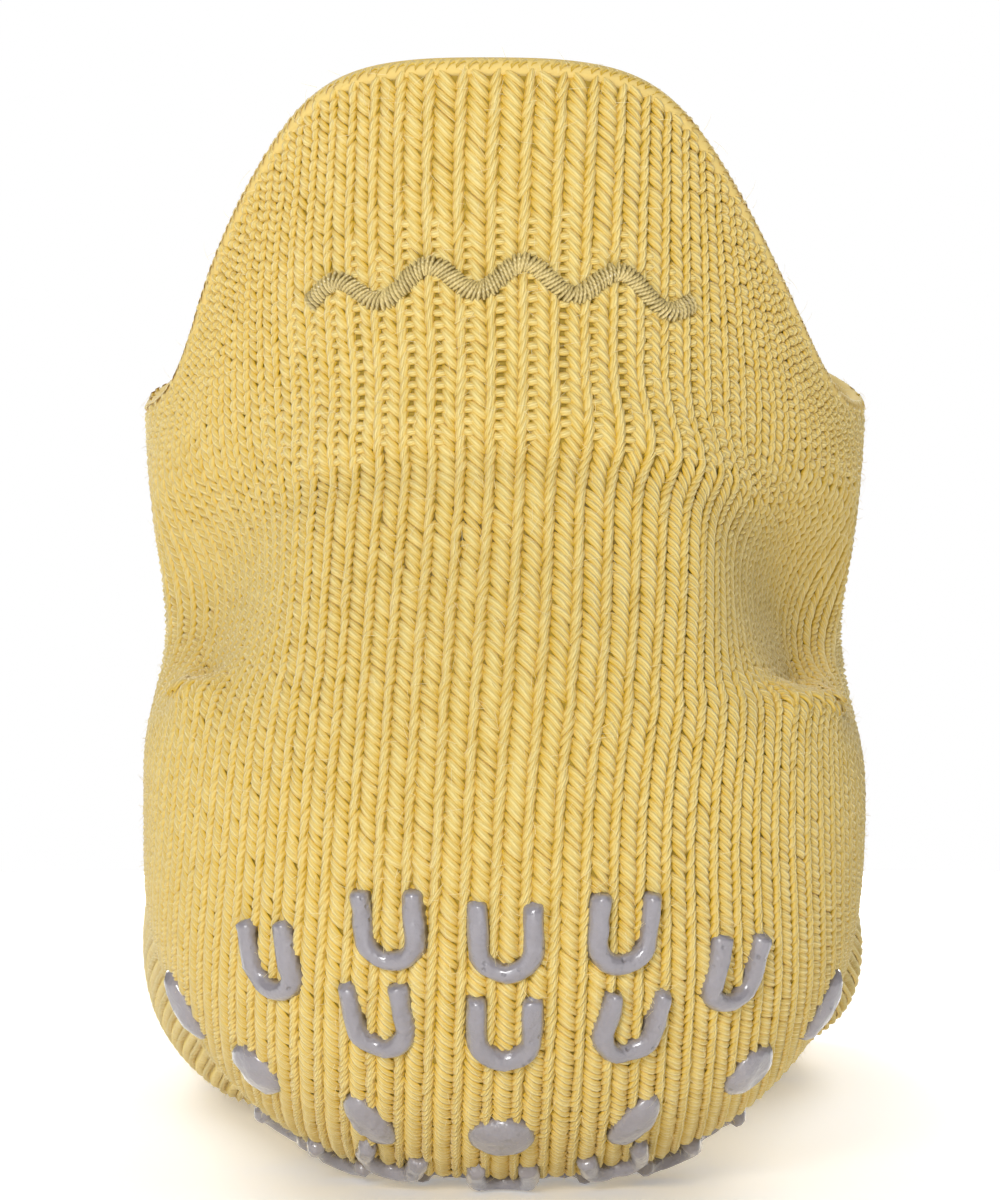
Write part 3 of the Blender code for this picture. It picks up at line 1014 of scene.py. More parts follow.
@dataclass
class KnitBody:
    """The knit of the leg, the heel, the foot and the toes.

    Rows count the form's rings from the toes' root up to the rim, and sides are angles from the middle of
    the back. A pair is where a change starts and ends, but the kink's row is a height over the fold and a
    spread. The kink's bias and the pull's unevenness are a middle, how much it differs and how fast.
    """

    form: SockForm
    body: Patch
    loops: Loops = field(default_factory=Loops)
    wales: int = 88
    samples: int = 60
    row_step: float = 0.15
    level_row: int = 12
    blend: float = 0.6
    gore_row: float = 9.9
    gore_lap: float = 0.06
    heel_row: float = 6.3
    lean_row: float = 7.2
    lean_in: float = 0.6
    lean_power: float = 2.2
    lean_sides: Pair = (1.3, 2.1)
    relax_left: float = 0.8
    relax_share: float = 0.8
    relax_rows: float = 2.6
    twist: float = 0.07
    twist_rows: Pair = (4.0, 7.0)
    kink: float = 0.36
    kink_row: Pair = (0.08, 0.30)
    kink_sides: Pair = (0.6, 1.2)
    kink_bias: Triple = (0.7, 0.6, 4.0)
    gather: float = 0.9
    gather_from: Pair = (0.15, 1.3)
    gather_to: Pair = (1.5, 2.6)
    fold_row: float = 11.81
    fold_drop: float = 0.80
    fold_half: float = 0.8
    pull_half: float = 0.62
    pull_blend: float = 0.25
    pull_uneven: Triple = (0.66, 0.34, 2.4)
    open_rows: Pair = (-0.05, 0.25)
    close_rows: Pair = (0.55, 1.5)
    crease_course: float = 1.04 * MM
    tab_course: float = 0.88 * MM
    foot_course: float = 0.92 * MM
    edge_gap: float = 1.05 * MM
    rim_points: int = 1200
    rim_drop: float = 0.35
    chain: float = 1.6 * MM
    chain_sink: float = 0.30 * MM
    hem: float = 7.0 * MM
    hem_start: float = 1.4 * MM
    hem_wale: float = 1.9 * MM
    hem_stops: int = 12
    hem_climb: float = 0.3
    hem_slant: float = 1.5
    sole_half: float = 6.35
    toe_wale: float = 2.2 * MM
    toe_step: float = 0.1
    toe_gap: float = 0.05

    def __post_init__(self) -> None:
        """Finds how far each column of the form moves so that the wales lie evenly round each row."""
        step = self.body.step
        rows, columns = self.body.grid.shape[:2]
        quarter = columns // 4
        closed = np.concatenate([self.body.grid, self.body.grid[:, :1]], axis=1)
        gaps = np.linalg.norm(np.diff(closed, axis=1), axis=2)
        shares = np.linspace(0.0, 1.0, quarter + 1)
        drift = np.zeros((rows, columns))
        for start in range(0, columns, quarter):
            for row in range(rows):
                reach = running(gaps[row, start : start + quarter])
                even = np.interp(shares * reach[-1], reach, np.arange(quarter + 1.0))
                drift[row, start : start + quarter] = (even - np.arange(quarter + 1.0))[:-1] / step
        drift[self.level_row * step :] = drift[self.level_row * step]
        offsets = np.arange(-2 * step, 2 * step + 1)
        weights = bell(offsets / step, 0.0, self.blend)
        smooth = sum(weight * np.roll(drift, offset, axis=1) for weight, offset in zip(weights, offsets))
        self.drift = Patch((smooth / weights.sum())[..., None], step)

    def columns(self, column: Array, row: Array) -> Array:
        """Where a wale runs: it leans in to the heel's turning line, twists, kinks and gathers a little.

        Args:
            column: The wale's own column.
            row: Rows along it.

        Returns:
            The columns of the form that it passes.
        """
        swing = self.swing(column)
        away = np.abs(swing)
        twist = self.twist * (row - self.gore_row) * soft_step(*self.twist_rows, row)
        most, least = self.lean_sides
        reach = soft_step(0.0, most, away) * (1.0 - soft_step(most, least, away))
        climbed = (row - self.lean_row) / (self.gore_row - self.lean_row)
        closing = np.clip(climbed, 0.0, 1.0) ** self.lean_power
        relax_from = np.where(swing < 0, self.gore_row + self.relax_left, self.gore_row)
        held = 1.0 - self.relax_share * soft_step(relax_from, relax_from + self.relax_rows, row)
        lean = self.lean_in * np.sign(swing) * reach * closing * held
        rise, spread = self.kink_row
        kink = self.kink * bell(row, self.fold_at(swing) + rise, spread) * np.sin(swing)
        kink = kink * (1.0 - soft_step(*self.kink_sides, away))
        strength, bias, steep = self.kink_bias
        inward = soft_step(*self.gather_from, away) * (1.0 - soft_step(*self.gather_to, away))
        gather = self.gather * np.sign(swing) * inward * soft_step(self.fold_row, len(RINGS), row)
        even = column + twist - lean + kink * (strength + bias * np.tanh(steep * swing)) - gather
        return even + self.drift.at(even, row)[..., 0]

    def wale(self, column: float, rows: Array, width: float) -> tuple[Array, ...]:
        """One wale's line over the body.

        Args:
            column: The wale's column.
            rows: Rows to pass, in order.
            width: Columns that one wale takes.

        Returns:
            Places, normals and vectors across.
        """
        columns = self.columns(np.full_like(rows, column), rows)
        line = self.body.at(columns, rows)
        right = self.columns(np.full_like(rows, column + width / 2), rows)
        left = self.columns(np.full_like(rows, column - width / 2), rows)
        across = self.body.at(right, rows) - self.body.at(left, rows)
        ahead = self.body.at(columns, rows + self.row_step) - self.body.at(columns, rows - self.row_step)
        normals = unit(np.cross(across, ahead))
        return line, normals, across

    def rim_line(self, row: float) -> Array:
        """Places all round the collar on one row, closely spaced."""
        columns = np.linspace(0.0, self.form.ring_points, self.rim_points + 1)
        return self.body.at(columns, np.full_like(columns, row))

    def rim_frame(self, count: int) -> tuple[Array, ...]:
        """Evenly spaced places on the collar's rim.

        Args:
            count: How many places.

        Returns:
            Places, outward normals, directions along the rim and directions down the knit from it.
        """
        last = float(len(RINGS))
        line = self.rim_line(last)
        below = self.rim_line(last - self.rim_drop)
        reach = running(np.linalg.norm(np.diff(line, axis=0), axis=1))
        stops = (np.arange(count) + 0.5) * reach[-1] / count
        along = np.gradient(line, axis=0)
        normals = unit(np.cross(along, line - below))
        sample = partial(read_along, stops, reach)
        tangent, normal = unit(sample(along)), unit(sample(normals))
        down = unit(np.cross(normal, tangent))
        down *= np.sign(np.sum(down * sample(below - line), axis=1, keepdims=True))
        return sample(line), normal, tangent, down

    def rim_length(self) -> float:
        """Length of the collar's rim."""
        line = self.rim_line(float(len(RINGS)))
        return float(np.linalg.norm(np.diff(line, axis=0), axis=1).sum())

    def hem_line(
        self, line: Array, rim: tuple[Array, ...], surface: BVHTree
    ) -> tuple[Array, Array]:
        """Where a wale goes on inside the rim as its hem.

        Args:
            line: The wale's places up to just below the rim.
            rim: Places, normals, directions along and directions down, all round the rim.
            surface: The knit's outer face, which the hem follows.

        Returns:
            Places and normals.
        """
        places, _, tangents, downs = rim
        spacing = self.rim_length() / len(places)
        nearest = int(np.linalg.norm(places - line[-1], axis=1).argmin())
        heading = unit(line[-1] - line[-3])
        climb = max(-float(heading @ downs[nearest]), self.hem_climb)
        slant = float(np.clip(heading @ tangents[nearest] / climb, -self.hem_slant, self.hem_slant))
        depths = np.linspace(self.hem_start, self.hem, self.hem_stops)
        spots = (nearest + np.rint(depths * slant / spacing).astype(int)) % len(places)
        inner = places[spots] + downs[spots] * depths[:, None]
        wall = [surface.find_nearest(Vector(spot))[:2] for spot in inner]
        facing = -np.array([list(normal) for _, normal in wall])
        return np.array([list(place) for place, _ in wall]) + facing * self.form.wall, facing

    def upper(self, side: Side, surface: BVHTree) -> Legs:
        """Loops above the heel's turning line up to the rim, and down its hem.

        Args:
            side: Which half of the tube.
            surface: The knit's outer face.

        Returns:
            The half's legs.
        """
        width = self.form.ring_points / self.wales
        rim = self.rim_frame(self.rim_points)
        rows = np.linspace(self.gore_row, len(RINGS), self.samples * 3)
        groups = []
        for index in range(self.wales):
            column = (index + 0.5) * width
            if self.half(column) is not side:
                continue
            line, normals, across = self.wale(column, rows, width)
            gaps = np.linalg.norm(line[:, None, :] - rim[0][None, ::2, :], axis=2).min(axis=1)
            end = int(np.argmax(gaps < self.edge_gap)) or len(line)
            swing = self.swing(column)
            above = rows[:end] - self.fold_at(swing)
            opening = soft_step(*self.open_rows, above)
            closing = soft_step(*self.close_rows, above)
            course = self.loops.course + (self.crease_course - self.loops.course) * opening
            course = course + (self.tab_course - self.crease_course) * closing
            pull = opening * (1.0 - closing) * self.pull(index, swing)
            groups.append(self.loops.along(line[:end], normals[:end], across[:end], course, False, pull))
            inner, facing = self.hem_line(line[:end], rim, surface)
            across = np.repeat(across[end - 1 : end], len(inner), axis=0)
            across = unit(across) * np.minimum(np.linalg.norm(across, axis=1, keepdims=True), self.hem_wale)
            groups.append(self.loops.along(inner, facing, across, self.tab_course, False))
        return Legs.joined(groups)

    def swing(self, column: Array | float) -> Array | float:
        """A column's angle from the middle of the back, from -pi to pi."""
        turn = column * 2 * math.pi / self.form.ring_points
        return (turn + math.pi) % (2 * math.pi) - math.pi

    def fold_at(self, swing: Array | float) -> Array | float:
        """The row of the tab's fold, which falls from the middle to both sides."""
        return self.fold_row - self.fold_drop * np.sin(np.clip(swing, -self.fold_half, self.fold_half)) ** 2

    def pull(self, index: int, swing: float) -> float:
        """How far a wale's loops are pulled open above the fold, at the back and some more than others."""
        strength, uneven, pace = self.pull_uneven
        start, end = self.pull_half - self.pull_blend, self.pull_half + self.pull_blend
        return (strength + uneven * math.sin(pace * index)) * float(1.0 - soft_step(start, end, abs(swing)))

    def edge_chain(self) -> Legs:
        """A chain of small loops along the top of the rim."""
        places, normals, _, downs = self.rim_frame(self.rim_points)
        line = places - normals * self.form.wall / 2 + downs * self.chain_sink
        line, normals, downs = (np.concatenate([part, part[:1]]) for part in (line, normals, downs))
        return self.loops.along(line, -downs, -normals * self.chain, self.tab_course, False)

    def lower(self, side: Side, first: float, last: float, course: float) -> Legs:
        """Loops of the foot and heel, between two rows of the form.

        Args:
            side: Which half of the tube.
            first: The first row.
            last: The last row.
            course: Length of one loop along its wale.

        Returns:
            The half's legs.
        """
        width = self.form.ring_points / self.wales
        groups = []
        for index in range(self.wales):
            column = (index + 0.5) * width
            if self.half(column) is not side:
                continue
            rows = np.linspace(first, last, self.samples * 2)
            groups.append(self.loops.along(*self.wale(column, rows, width), course, False))
        return Legs.joined(groups)

    def half(self, column: float) -> Side:
        """Which half of the tube a column is in."""
        points = self.form.ring_points
        from_sole = min(column % points, points - column % points)
        return Side.SOLE if from_sole < self.sole_half else Side.INSTEP

    def toe(self, patch: Patch, surface: BVHTree) -> Legs:
        """Loops of one toe pocket, closed over its tip.

        Args:
            patch: The pocket's tube.
            surface: The knit's outer face.

        Returns:
            The pocket's legs.
        """
        rows, columns = patch.grid.shape[:2]
        tip_ring = patch.grid[-1]
        centre = tip_ring.mean(axis=0)
        tip = np.array(surface.ray_cast(Vector(centre), Vector((0.0, 1.0, 0.0)))[0] or centre)
        cap = []
        for share in np.linspace(0.0, 1.0, patch.step + 1)[1:]:
            bulge = tip_ring * (1 - share) + tip * share
            cap.append([surface.find_nearest(Vector(point))[0] for point in bulge])
        full = Patch(np.concatenate([patch.grid, np.array(cap)]), patch.step)
        middle_ring = patch.grid[rows // 2]
        closed_ring = np.concatenate([middle_ring, middle_ring[:1]])
        girth = np.linalg.norm(np.diff(closed_ring, axis=0), axis=1).sum()
        count = int(round(girth / self.toe_wale))
        cage_columns = columns / patch.step
        width = cage_columns / count
        groups = []
        last = (full.grid.shape[0] - 1) / patch.step
        for index in range(count):
            column = (index + 0.5) * width
            stops = np.linspace(0.0, last - self.toe_gap, self.samples)
            along, right, left = (np.full_like(stops, column + width * half) for half in (0.0, 0.5, -0.5))
            line = full.at(along, stops)
            across = full.at(right, stops) - full.at(left, stops)
            ahead = full.at(along, stops + self.toe_step) - full.at(along, stops - self.toe_step)
            normals = unit(np.cross(across, ahead))
            facing = np.array([surface.find_nearest(Vector(point))[1] for point in line])
            normals *= np.sign(np.sum(normals * facing, axis=1, keepdims=True))
            groups.append(self.loops.along(line, normals, across, self.foot_course, True))
        return Legs.joined(groups)


class FuzzTree:
    """A Geometry Nodes tree that scatters short bent fibres over the knit."""

    TAPER = 0.7
    RISE = 0.75
    BEND = 0.45
    LENGTHS = (0.45, 1.25)
    LENGTH_SEED = 3

    def __init__(self) -> None:
        """Builds the tree."""
        self.tree = bpy.data.node_groups.new("yarn_fuzz", "GeometryNodeTree")
        add_input(self.tree, "Geometry", "Geometry")
        add_input(self.tree, "Fibres per square metre", "Float", 3.2e5)
        add_input(self.tree, "Fibre length", "Float", 1.5 * MM)
        add_input(self.tree, "Fibre width", "Float", 0.035 * MM)
        add_input(self.tree, "Seed", "Int", 5)
        self.finish = add_input(self.tree, "Fibre", "Material")
        self.tree.interface.new_socket("Fuzz", in_out="OUTPUT", socket_type="NodeSocketGeometry")
        self.build()

    def build(self) -> None:
        """Adds the nodes: a thin ribbon that rises and bends over, at random on the knit's faces."""
        make = TreeMaker(self.tree)
        knit, density, length, width, seed, finish = make.add("NodeGroupInput").outputs[:6]
        lines = {"Size X": 1.0, "Size Y": 1.0, "Vertices X": 2, "Vertices Y": 4}
        strip = make.add("GeometryNodeMeshGrid", lines)
        x, y, _ = make.split(make.add("GeometryNodeInputPosition").outputs[0])
        share = make.math("ADD", y, 0.5)
        taper = make.math("SUBTRACT", 1.0, make.math("MULTIPLY", share, self.TAPER))
        rise = make.math("SUBTRACT", self.RISE, make.math("MULTIPLY", share, self.BEND))
        bent = make.combine(make.math("MULTIPLY", x, taper), share, make.math("MULTIPLY", share, rise))
        fibre = make.add("GeometryNodeSetPosition", {"Geometry": strip.outputs["Mesh"], "Position": bent})
        spots = make.add(
            "GeometryNodeDistributePointsOnFaces",
            {"Mesh": knit, "Density": density, "Seed": seed},
            distribute_method="RANDOM",
        )
        whole_turn = {"Min": (0.0, 0.0, 0.0), "Max": (0.0, 0.0, 2 * math.pi)}
        spin = make.add("FunctionNodeRandomValue", whole_turn, data_type="FLOAT_VECTOR")
        turned = make.add("FunctionNodeEulerToRotation", {0: spin.outputs[0]})
        rotation = make.add(
            "FunctionNodeRotateRotation",
            {"Rotation": spots.outputs["Rotation"], "Rotate By": turned.outputs[0]},
            rotation_space="LOCAL",
        )
        shortest, longest = self.LENGTHS
        lengths = {2: shortest, 3: longest, "Seed": self.LENGTH_SEED}
        uneven = make.add("FunctionNodeRandomValue", lengths, data_type="FLOAT")
        reach = make.math("MULTIPLY", uneven.outputs[1], length)
        laid = make.add(
            "GeometryNodeInstanceOnPoints",
            {
                "Points": spots.outputs["Points"],
                "Instance": fibre.outputs[0],
                "Rotation": rotation.outputs[0],
                "Scale": make.combine(width, reach, reach),
            },
        )
        real = make.add("GeometryNodeRealizeInstances", {0: laid.outputs[0]})
        make.hand_over(real.outputs[0], finish)

    def scatter(self, name: str, knit: Mesh, fibre: Material) -> Object:
        """Makes the fuzz of the knit.

        Args:
            name: The piece's name.
            knit: The face that the fibres grow from, which is used up.
            fibre: The fibres' material.

        Returns:
            The fuzz, as a plain mesh.
        """
        mesh = run_tree(name, knit, self.tree, {self.finish: fibre})
        for layer in [layer.name for layer in mesh.uv_layers]:
            mesh.uv_layers.remove(mesh.uv_layers[layer])
        return link_object(name, mesh)


@dataclass(frozen=True)
class FuzzFinish:
    """Pale fibres that stand off the yarn."""

    colour: Colour = (0.86, 0.74, 0.42, 1.0)

    def material(self) -> Material:
        """The material of the fuzz."""
        material, make = new_material("yarn_fuzz")
        look = {"Base Color": self.colour, "Roughness": 0.7, "Specular IOR Level": 0.3}
        make.principled(look)
        return material


@dataclass(frozen=True)
class YarnFinish:
    """Soft yarn, pale on its tops, with painted shade that turns it golden and darker in the crevices: the
    grooves between its plies and each leg's edges and ends.
    """

    top: Colour = (0.86, 0.70, 0.29, 1.0)
    # The colour of painted shade that the yarn turns to in its crevices: towards each leg's edges and ends
    # and in the grooves between its plies.
    edge: Colour = (0.64, 0.385, 0.004, 1.0)
    plies: float = 3.0
    twist: float = 0.35
    groove_power: float = 0.6
    groove_shade: float = 0.30
    edge_power: float = 1.4
    end_power: float = 1.7
    edge_shade: float = 0.95
    tint_share: float = 0.20
    fibre_scale: float = 5200.0
    fibre_share: float = 0.16
    fibre_relief: float = 0.25
    sheen: float = 0.30

    def material(self) -> Material:
        """The material of the loops' legs."""
        material, make = new_material("yellow_yarn")
        u, v, _ = make.split(make.add("ShaderNodeUVMap", uv_map="strand").outputs[0])
        tint = make.add("ShaderNodeAttribute", attribute_name="tint").outputs["Fac"]
        across = make.math("SUBTRACT", make.math("MULTIPLY", u, 2.0), 1.0)
        along = make.math("SUBTRACT", make.math("MULTIPLY", v, 2.0), 1.0)
        twisted = make.math("ADD", across, make.math("MULTIPLY", along, self.twist))
        ply = make.math("MULTIPLY", twisted, self.plies * math.pi / 2)
        ridge = make.math("ABSOLUTE", make.math("COSINE", ply))
        groove = make.math("POWER", ridge, self.groove_power)
        # Painted shade towards the leg's edges and ends, where it sinks between its neighbours.
        edge = make.math("POWER", make.math("ABSOLUTE", across), self.edge_power)
        end = make.math("POWER", make.math("ABSOLUTE", along), self.end_power)
        depth = make.math("MULTIPLY", make.math("MAXIMUM", edge, end), self.edge_shade)
        place = make.add("ShaderNodeTexCoord").outputs["Object"]
        fibres = make.noise(place, self.fibre_scale, 2.0).outputs["Fac"]
        # Painted shade in the grooves between the plies, and then at the edges and ends.
        lit = make.math("MULTIPLY_ADD", groove, self.groove_shade, 1.0 - self.groove_shade)
        lit = make.math("MULTIPLY", lit, make.math("SUBTRACT", 1.0, depth))
        for cause, share in ((tint, self.tint_share), (fibres, self.fibre_share)):
            lit = make.math("ADD", lit, make.math("MULTIPLY_ADD", cause, share, -share / 2))
        height = make.math("MULTIPLY_ADD", fibres, self.fibre_relief, groove)
        bump = make.add("ShaderNodeBump", {"Strength": 0.55, "Distance": 0.16 * MM, "Height": height})
        look = {
            "Base Color": make.mix(lit, self.edge, self.top),
            "Roughness": 0.82,
            "Specular IOR Level": 0.25,
            "Sheen Weight": self.sheen,
            "Sheen Roughness": 0.45,
            "Normal": bump.outputs[0],
        }
        make.principled(look)
        return material


@dataclass(frozen=True)
class GroundFinish:
    """The knit's depth between the loops, coloured as painted shade, and its purl side within the sock, with
    painted shade between its bumps.

    A ramp is a factor and what is added to it.
    """

    # The first three colours are painted shade between the loops: golden in the crevices, darker still in
    # the holes and paler over the foot.
    crevice_shade: Colour = (0.42, 0.28, 0.035, 1.0)
    hole_shade: Colour = (0.16, 0.11, 0.03, 1.0)
    foot: Colour = (0.74, 0.53, 0.15, 1.0)
    rim: Colour = (0.78, 0.58, 0.19, 1.0)
    purl: Colour = (0.82, 0.65, 0.26, 1.0)
    # The colour of painted shade between the purl bumps.
    purl_shade: Colour = (0.66, 0.44, 0.10, 1.0)
    foot_ramp: Pair = (30.0, 2.2)
    patch_scale: float = 260.0
    patch_share: float = 7.0
    hole_shade_level: float = 58.0 * MM
    hole_shade_ramp: Pair = (90.0, -2.9)
    wales: int = 88
    cage_columns: int = 24
    courses: float = 14.0
    bow: float = 1.2

    def outside(self) -> Material:
        """What shows between the loops: painted shade, golden in the crevices, darker still where holes open
        in patches round one height of the heel, and paler over the foot.
        """
        material, make = new_material("knit_depth")
        place = make.add("ShaderNodeTexCoord").outputs["Object"]
        _, y, z = make.split(place)
        forward = make.math("MULTIPLY_ADD", y, *self.foot_ramp)
        forward = make.math("MINIMUM", make.math("MAXIMUM", forward, 0.0), 1.0)
        # Painted shade of holes in the knit, in noisy patches round one height of the heel.
        level = make.math("ABSOLUTE", make.math("SUBTRACT", z, self.hole_shade_level))
        level = make.math("MULTIPLY_ADD", level, *self.hole_shade_ramp)
        patches = make.noise(place, self.patch_scale, 3.0).outputs["Fac"]
        closed = make.math("ADD", make.math("MULTIPLY", patches, self.patch_share), level)
        heel = make.mix(closed, self.hole_shade, self.crevice_shade)
        colour = make.mix(forward, heel, self.foot)
        make.principled({"Base Color": colour, "Roughness": 0.95})
        return material

    def edge(self) -> Material:
        """What shows between the loops that turn over the rim."""
        material, make = new_material("knit_edge")
        make.principled({"Base Color": self.rim, "Roughness": 0.95})
        return material

    def inside(self) -> Material:
        """Rows of purl bumps, charted on the form's columns and rows, with painted shade between the bumps.
        """
        material, make = new_material("knit_purl_side")
        u, v, _ = make.split(make.add("ShaderNodeUVMap", uv_map="chart").outputs[0])
        column = make.math("MULTIPLY", u, 2 * math.pi * self.wales / self.cage_columns)
        row = make.math("MULTIPLY", v, 2 * math.pi * self.courses)
        bowed = make.math("MULTIPLY_ADD", make.math("COSINE", column), self.bow, row)
        bumps = make.math("MULTIPLY_ADD", make.math("SINE", bowed), 0.5, 0.5)
        bump = make.add("ShaderNodeBump", {"Strength": 0.6, "Distance": 0.4 * MM, "Height": bumps})
        # Painted shade: the colour darkens between the bumps.
        look = {
            "Base Color": make.mix(bumps, self.purl_shade, self.purl),
            "Roughness": 0.9,
            "Sheen Weight": 0.2,
            "Normal": bump.outputs[0],
        }
        make.principled(look)
        return material


@dataclass(frozen=True)
class ThreadFinish:
    """Glossy gold embroidery thread, with painted shade at each thread's edges and in the grooves of its
    twist.
    """

    light: Colour = (0.74, 0.58, 0.23, 1.0)
    # The colour of painted shade at a thread's edges and in its twist.
    thread_shade: Colour = (0.17, 0.115, 0.020, 1.0)
    edge_power: float = 1.8
    tint_ramp: Pair = (0.35, 0.72)
    turns: float = 26.0
    turn_slant: float = 3.0
    turn_shade: float = 0.10

    def material(self) -> Material:
        """The material of the motif's threads."""
        material, make = new_material("gold_thread")
        u, v, _ = make.split(make.add("ShaderNodeUVMap", uv_map="strand").outputs[0])
        tint = make.add("ShaderNodeAttribute", attribute_name="tint").outputs["Fac"]
        across = make.math("SUBTRACT", make.math("MULTIPLY", u, 2.0), 1.0)
        # Painted shade towards the thread's edges and in the grooves of its twist.
        edge = make.math("POWER", make.math("ABSOLUTE", across), self.edge_power)
        slant = make.math("MULTIPLY", across, self.turn_slant)
        twist = make.math("SINE", make.math("MULTIPLY_ADD", v, self.turns, slant))
        lit = make.math("SUBTRACT", make.math("MULTIPLY_ADD", tint, *self.tint_ramp), edge)
        lit = make.math("MULTIPLY_ADD", twist, self.turn_shade, lit)
        bump = make.add("ShaderNodeBump", {"Strength": 0.4, "Distance": 0.08 * MM, "Height": twist})
        look = {
            "Base Color": make.mix(lit, self.thread_shade, self.light),
            "Roughness": 0.30,
            "Specular IOR Level": 0.8,
            "Anisotropic": 0.5,
            "Sheen Weight": 0.1,
            "Normal": bump.outputs[0],
        }
        make.principled(look)
        return material


@dataclass(frozen=True)
class SiliconeFinish:
    """Printed grey silicone: glossy and uneven, with small bubbles."""

    colour: Colour = (0.335, 0.315, 0.345, 1.0)
    # The second colour is the darker grey where the cloud noise is low, which is also where the bump sinks.
    thin: Colour = (0.27, 0.25, 0.27, 1.0)
    cloud_scale: float = 620.0
    grain_scale: float = 2600.0
    grain_relief: float = 0.25
    bubble_scale: float = 700.0
    bubble_size: float = 6.0
    bubble_relief: float = 0.5
    rough_ramp: Pair = (0.16, 0.24)

    def material(self) -> Material:
        """The material of the grips."""
        material, make = new_material("grey_silicone_print")
        place = make.add("ShaderNodeTexCoord").outputs["Object"]
        cloud = make.noise(place, self.cloud_scale, 2.0).outputs["Fac"]
        grain = make.noise(place, self.grain_scale, 2.0).outputs["Fac"]
        cells = {"Vector": place, "Scale": self.bubble_scale}
        bubbles = make.add("ShaderNodeTexVoronoi", cells, feature="F1").outputs["Distance"]
        pit = make.math("SUBTRACT", 1.0, make.math("MULTIPLY", bubbles, self.bubble_size))
        pit = make.math("MULTIPLY", make.math("MAXIMUM", pit, 0.0), self.bubble_relief)
        height = make.math("ADD", cloud, make.math("MULTIPLY", grain, self.grain_relief))
        height = make.math("SUBTRACT", height, pit)
        bump = make.add("ShaderNodeBump", {"Strength": 1.0, "Distance": 0.4 * MM, "Height": height})
        look = {
            "Base Color": make.mix(cloud, self.thin, self.colour),
            "Roughness": make.math("MULTIPLY_ADD", grain, *self.rough_ramp),
            "Specular IOR Level": 0.5,
            "Coat Weight": 1.0,
            "Coat Roughness": 0.17,
            "Normal": bump.outputs[0],
        }
        make.principled(look)
        return material


@dataclass
class TabMotif:
    """A plain satin-stitched wave across the tab."""

    form: SockForm
    half_span: float = 16.5 * MM
    height: float = 80.5 * MM
    swing: float = 1.25 * MM
    waves: float = 4.0
    droop: float = 1.8 * MM
    stroke: float = 1.75 * MM
    pitch: float = 0.34 * MM
    thread: float = 0.46 * MM
    round_share: float = 1.15
    proud_mm: float = 0.55
    slant: float = 0.35
    slant_stray: float = 0.09
    stroke_stray: float = 0.05
    thread_stray: float = 0.06
    points: int = 4000
    look_ahead: float = 0.1 * MM
    seed: int = 11

    def threads(self, surface: BVHTree) -> Legs:
        """Satin threads side by side along the wave, laid on the knit.

        Args:
            surface: The knit's outer face.

        Returns:
            One leg for each thread.
        """
        random = np.random.default_rng(self.seed)
        span = np.linspace(-1.0, 1.0, self.points)
        x = span * self.half_span
        z = self.height - self.droop * span**2 + self.swing * np.sin(span * math.pi * self.waves)
        reach = running(np.hypot(np.diff(x), np.diff(z)))
        stops = np.linspace(0.0, reach[-1], int(reach[-1] / self.pitch))
        rows = []
        for stop in stops:
            at_x, at_z = np.interp(stop, reach, x), np.interp(stop, reach, z)
            ahead, behind = stop + self.look_ahead, stop - self.look_ahead
            dx = np.interp(ahead, reach, x) - np.interp(behind, reach, x)
            dz = np.interp(ahead, reach, z) - np.interp(behind, reach, z)
            start = Vector((at_x, -self.form.length, at_z)) + Vector(self.form.shift)
            place, normal = surface.ray_cast(start, Vector((0.0, 1.0, 0.0)))[:2]
            along = Vector((dx, 0.0, dz))
            along = (along - normal * along.dot(normal)).normalized()
            across = normal.cross(along).normalized()
            axis = (across + along * (self.slant + random.normal(0.0, self.slant_stray))).normalized()
            length = self.stroke * (1.0 + random.normal(0.0, self.stroke_stray))
            thick = self.thread * (1.0 + random.normal(0.0, self.thread_stray))
            size = (thick, length, self.thread * self.round_share)
            rows.append((place + normal * self.proud_mm * MM, normal, axis, size, random.random()))
        columns = [np.array([list(row[index]) for row in rows]) for index in range(4)]
        return Legs(*columns, np.array([row[4] for row in rows]))


class PadShape(Enum):
    """Outlines of the silicone grips."""

    HORSESHOE = "grip_u"
    BAR = "grip_bar"
    DISC = "grip_disc"


@dataclass(frozen=True)
class PadPlace:
    """Where one grip lies: a ray that meets the knit, and the way its open end points."""

    node: str
    shape: PadShape
    start: Vector
    ray: Vector
    up: Vector


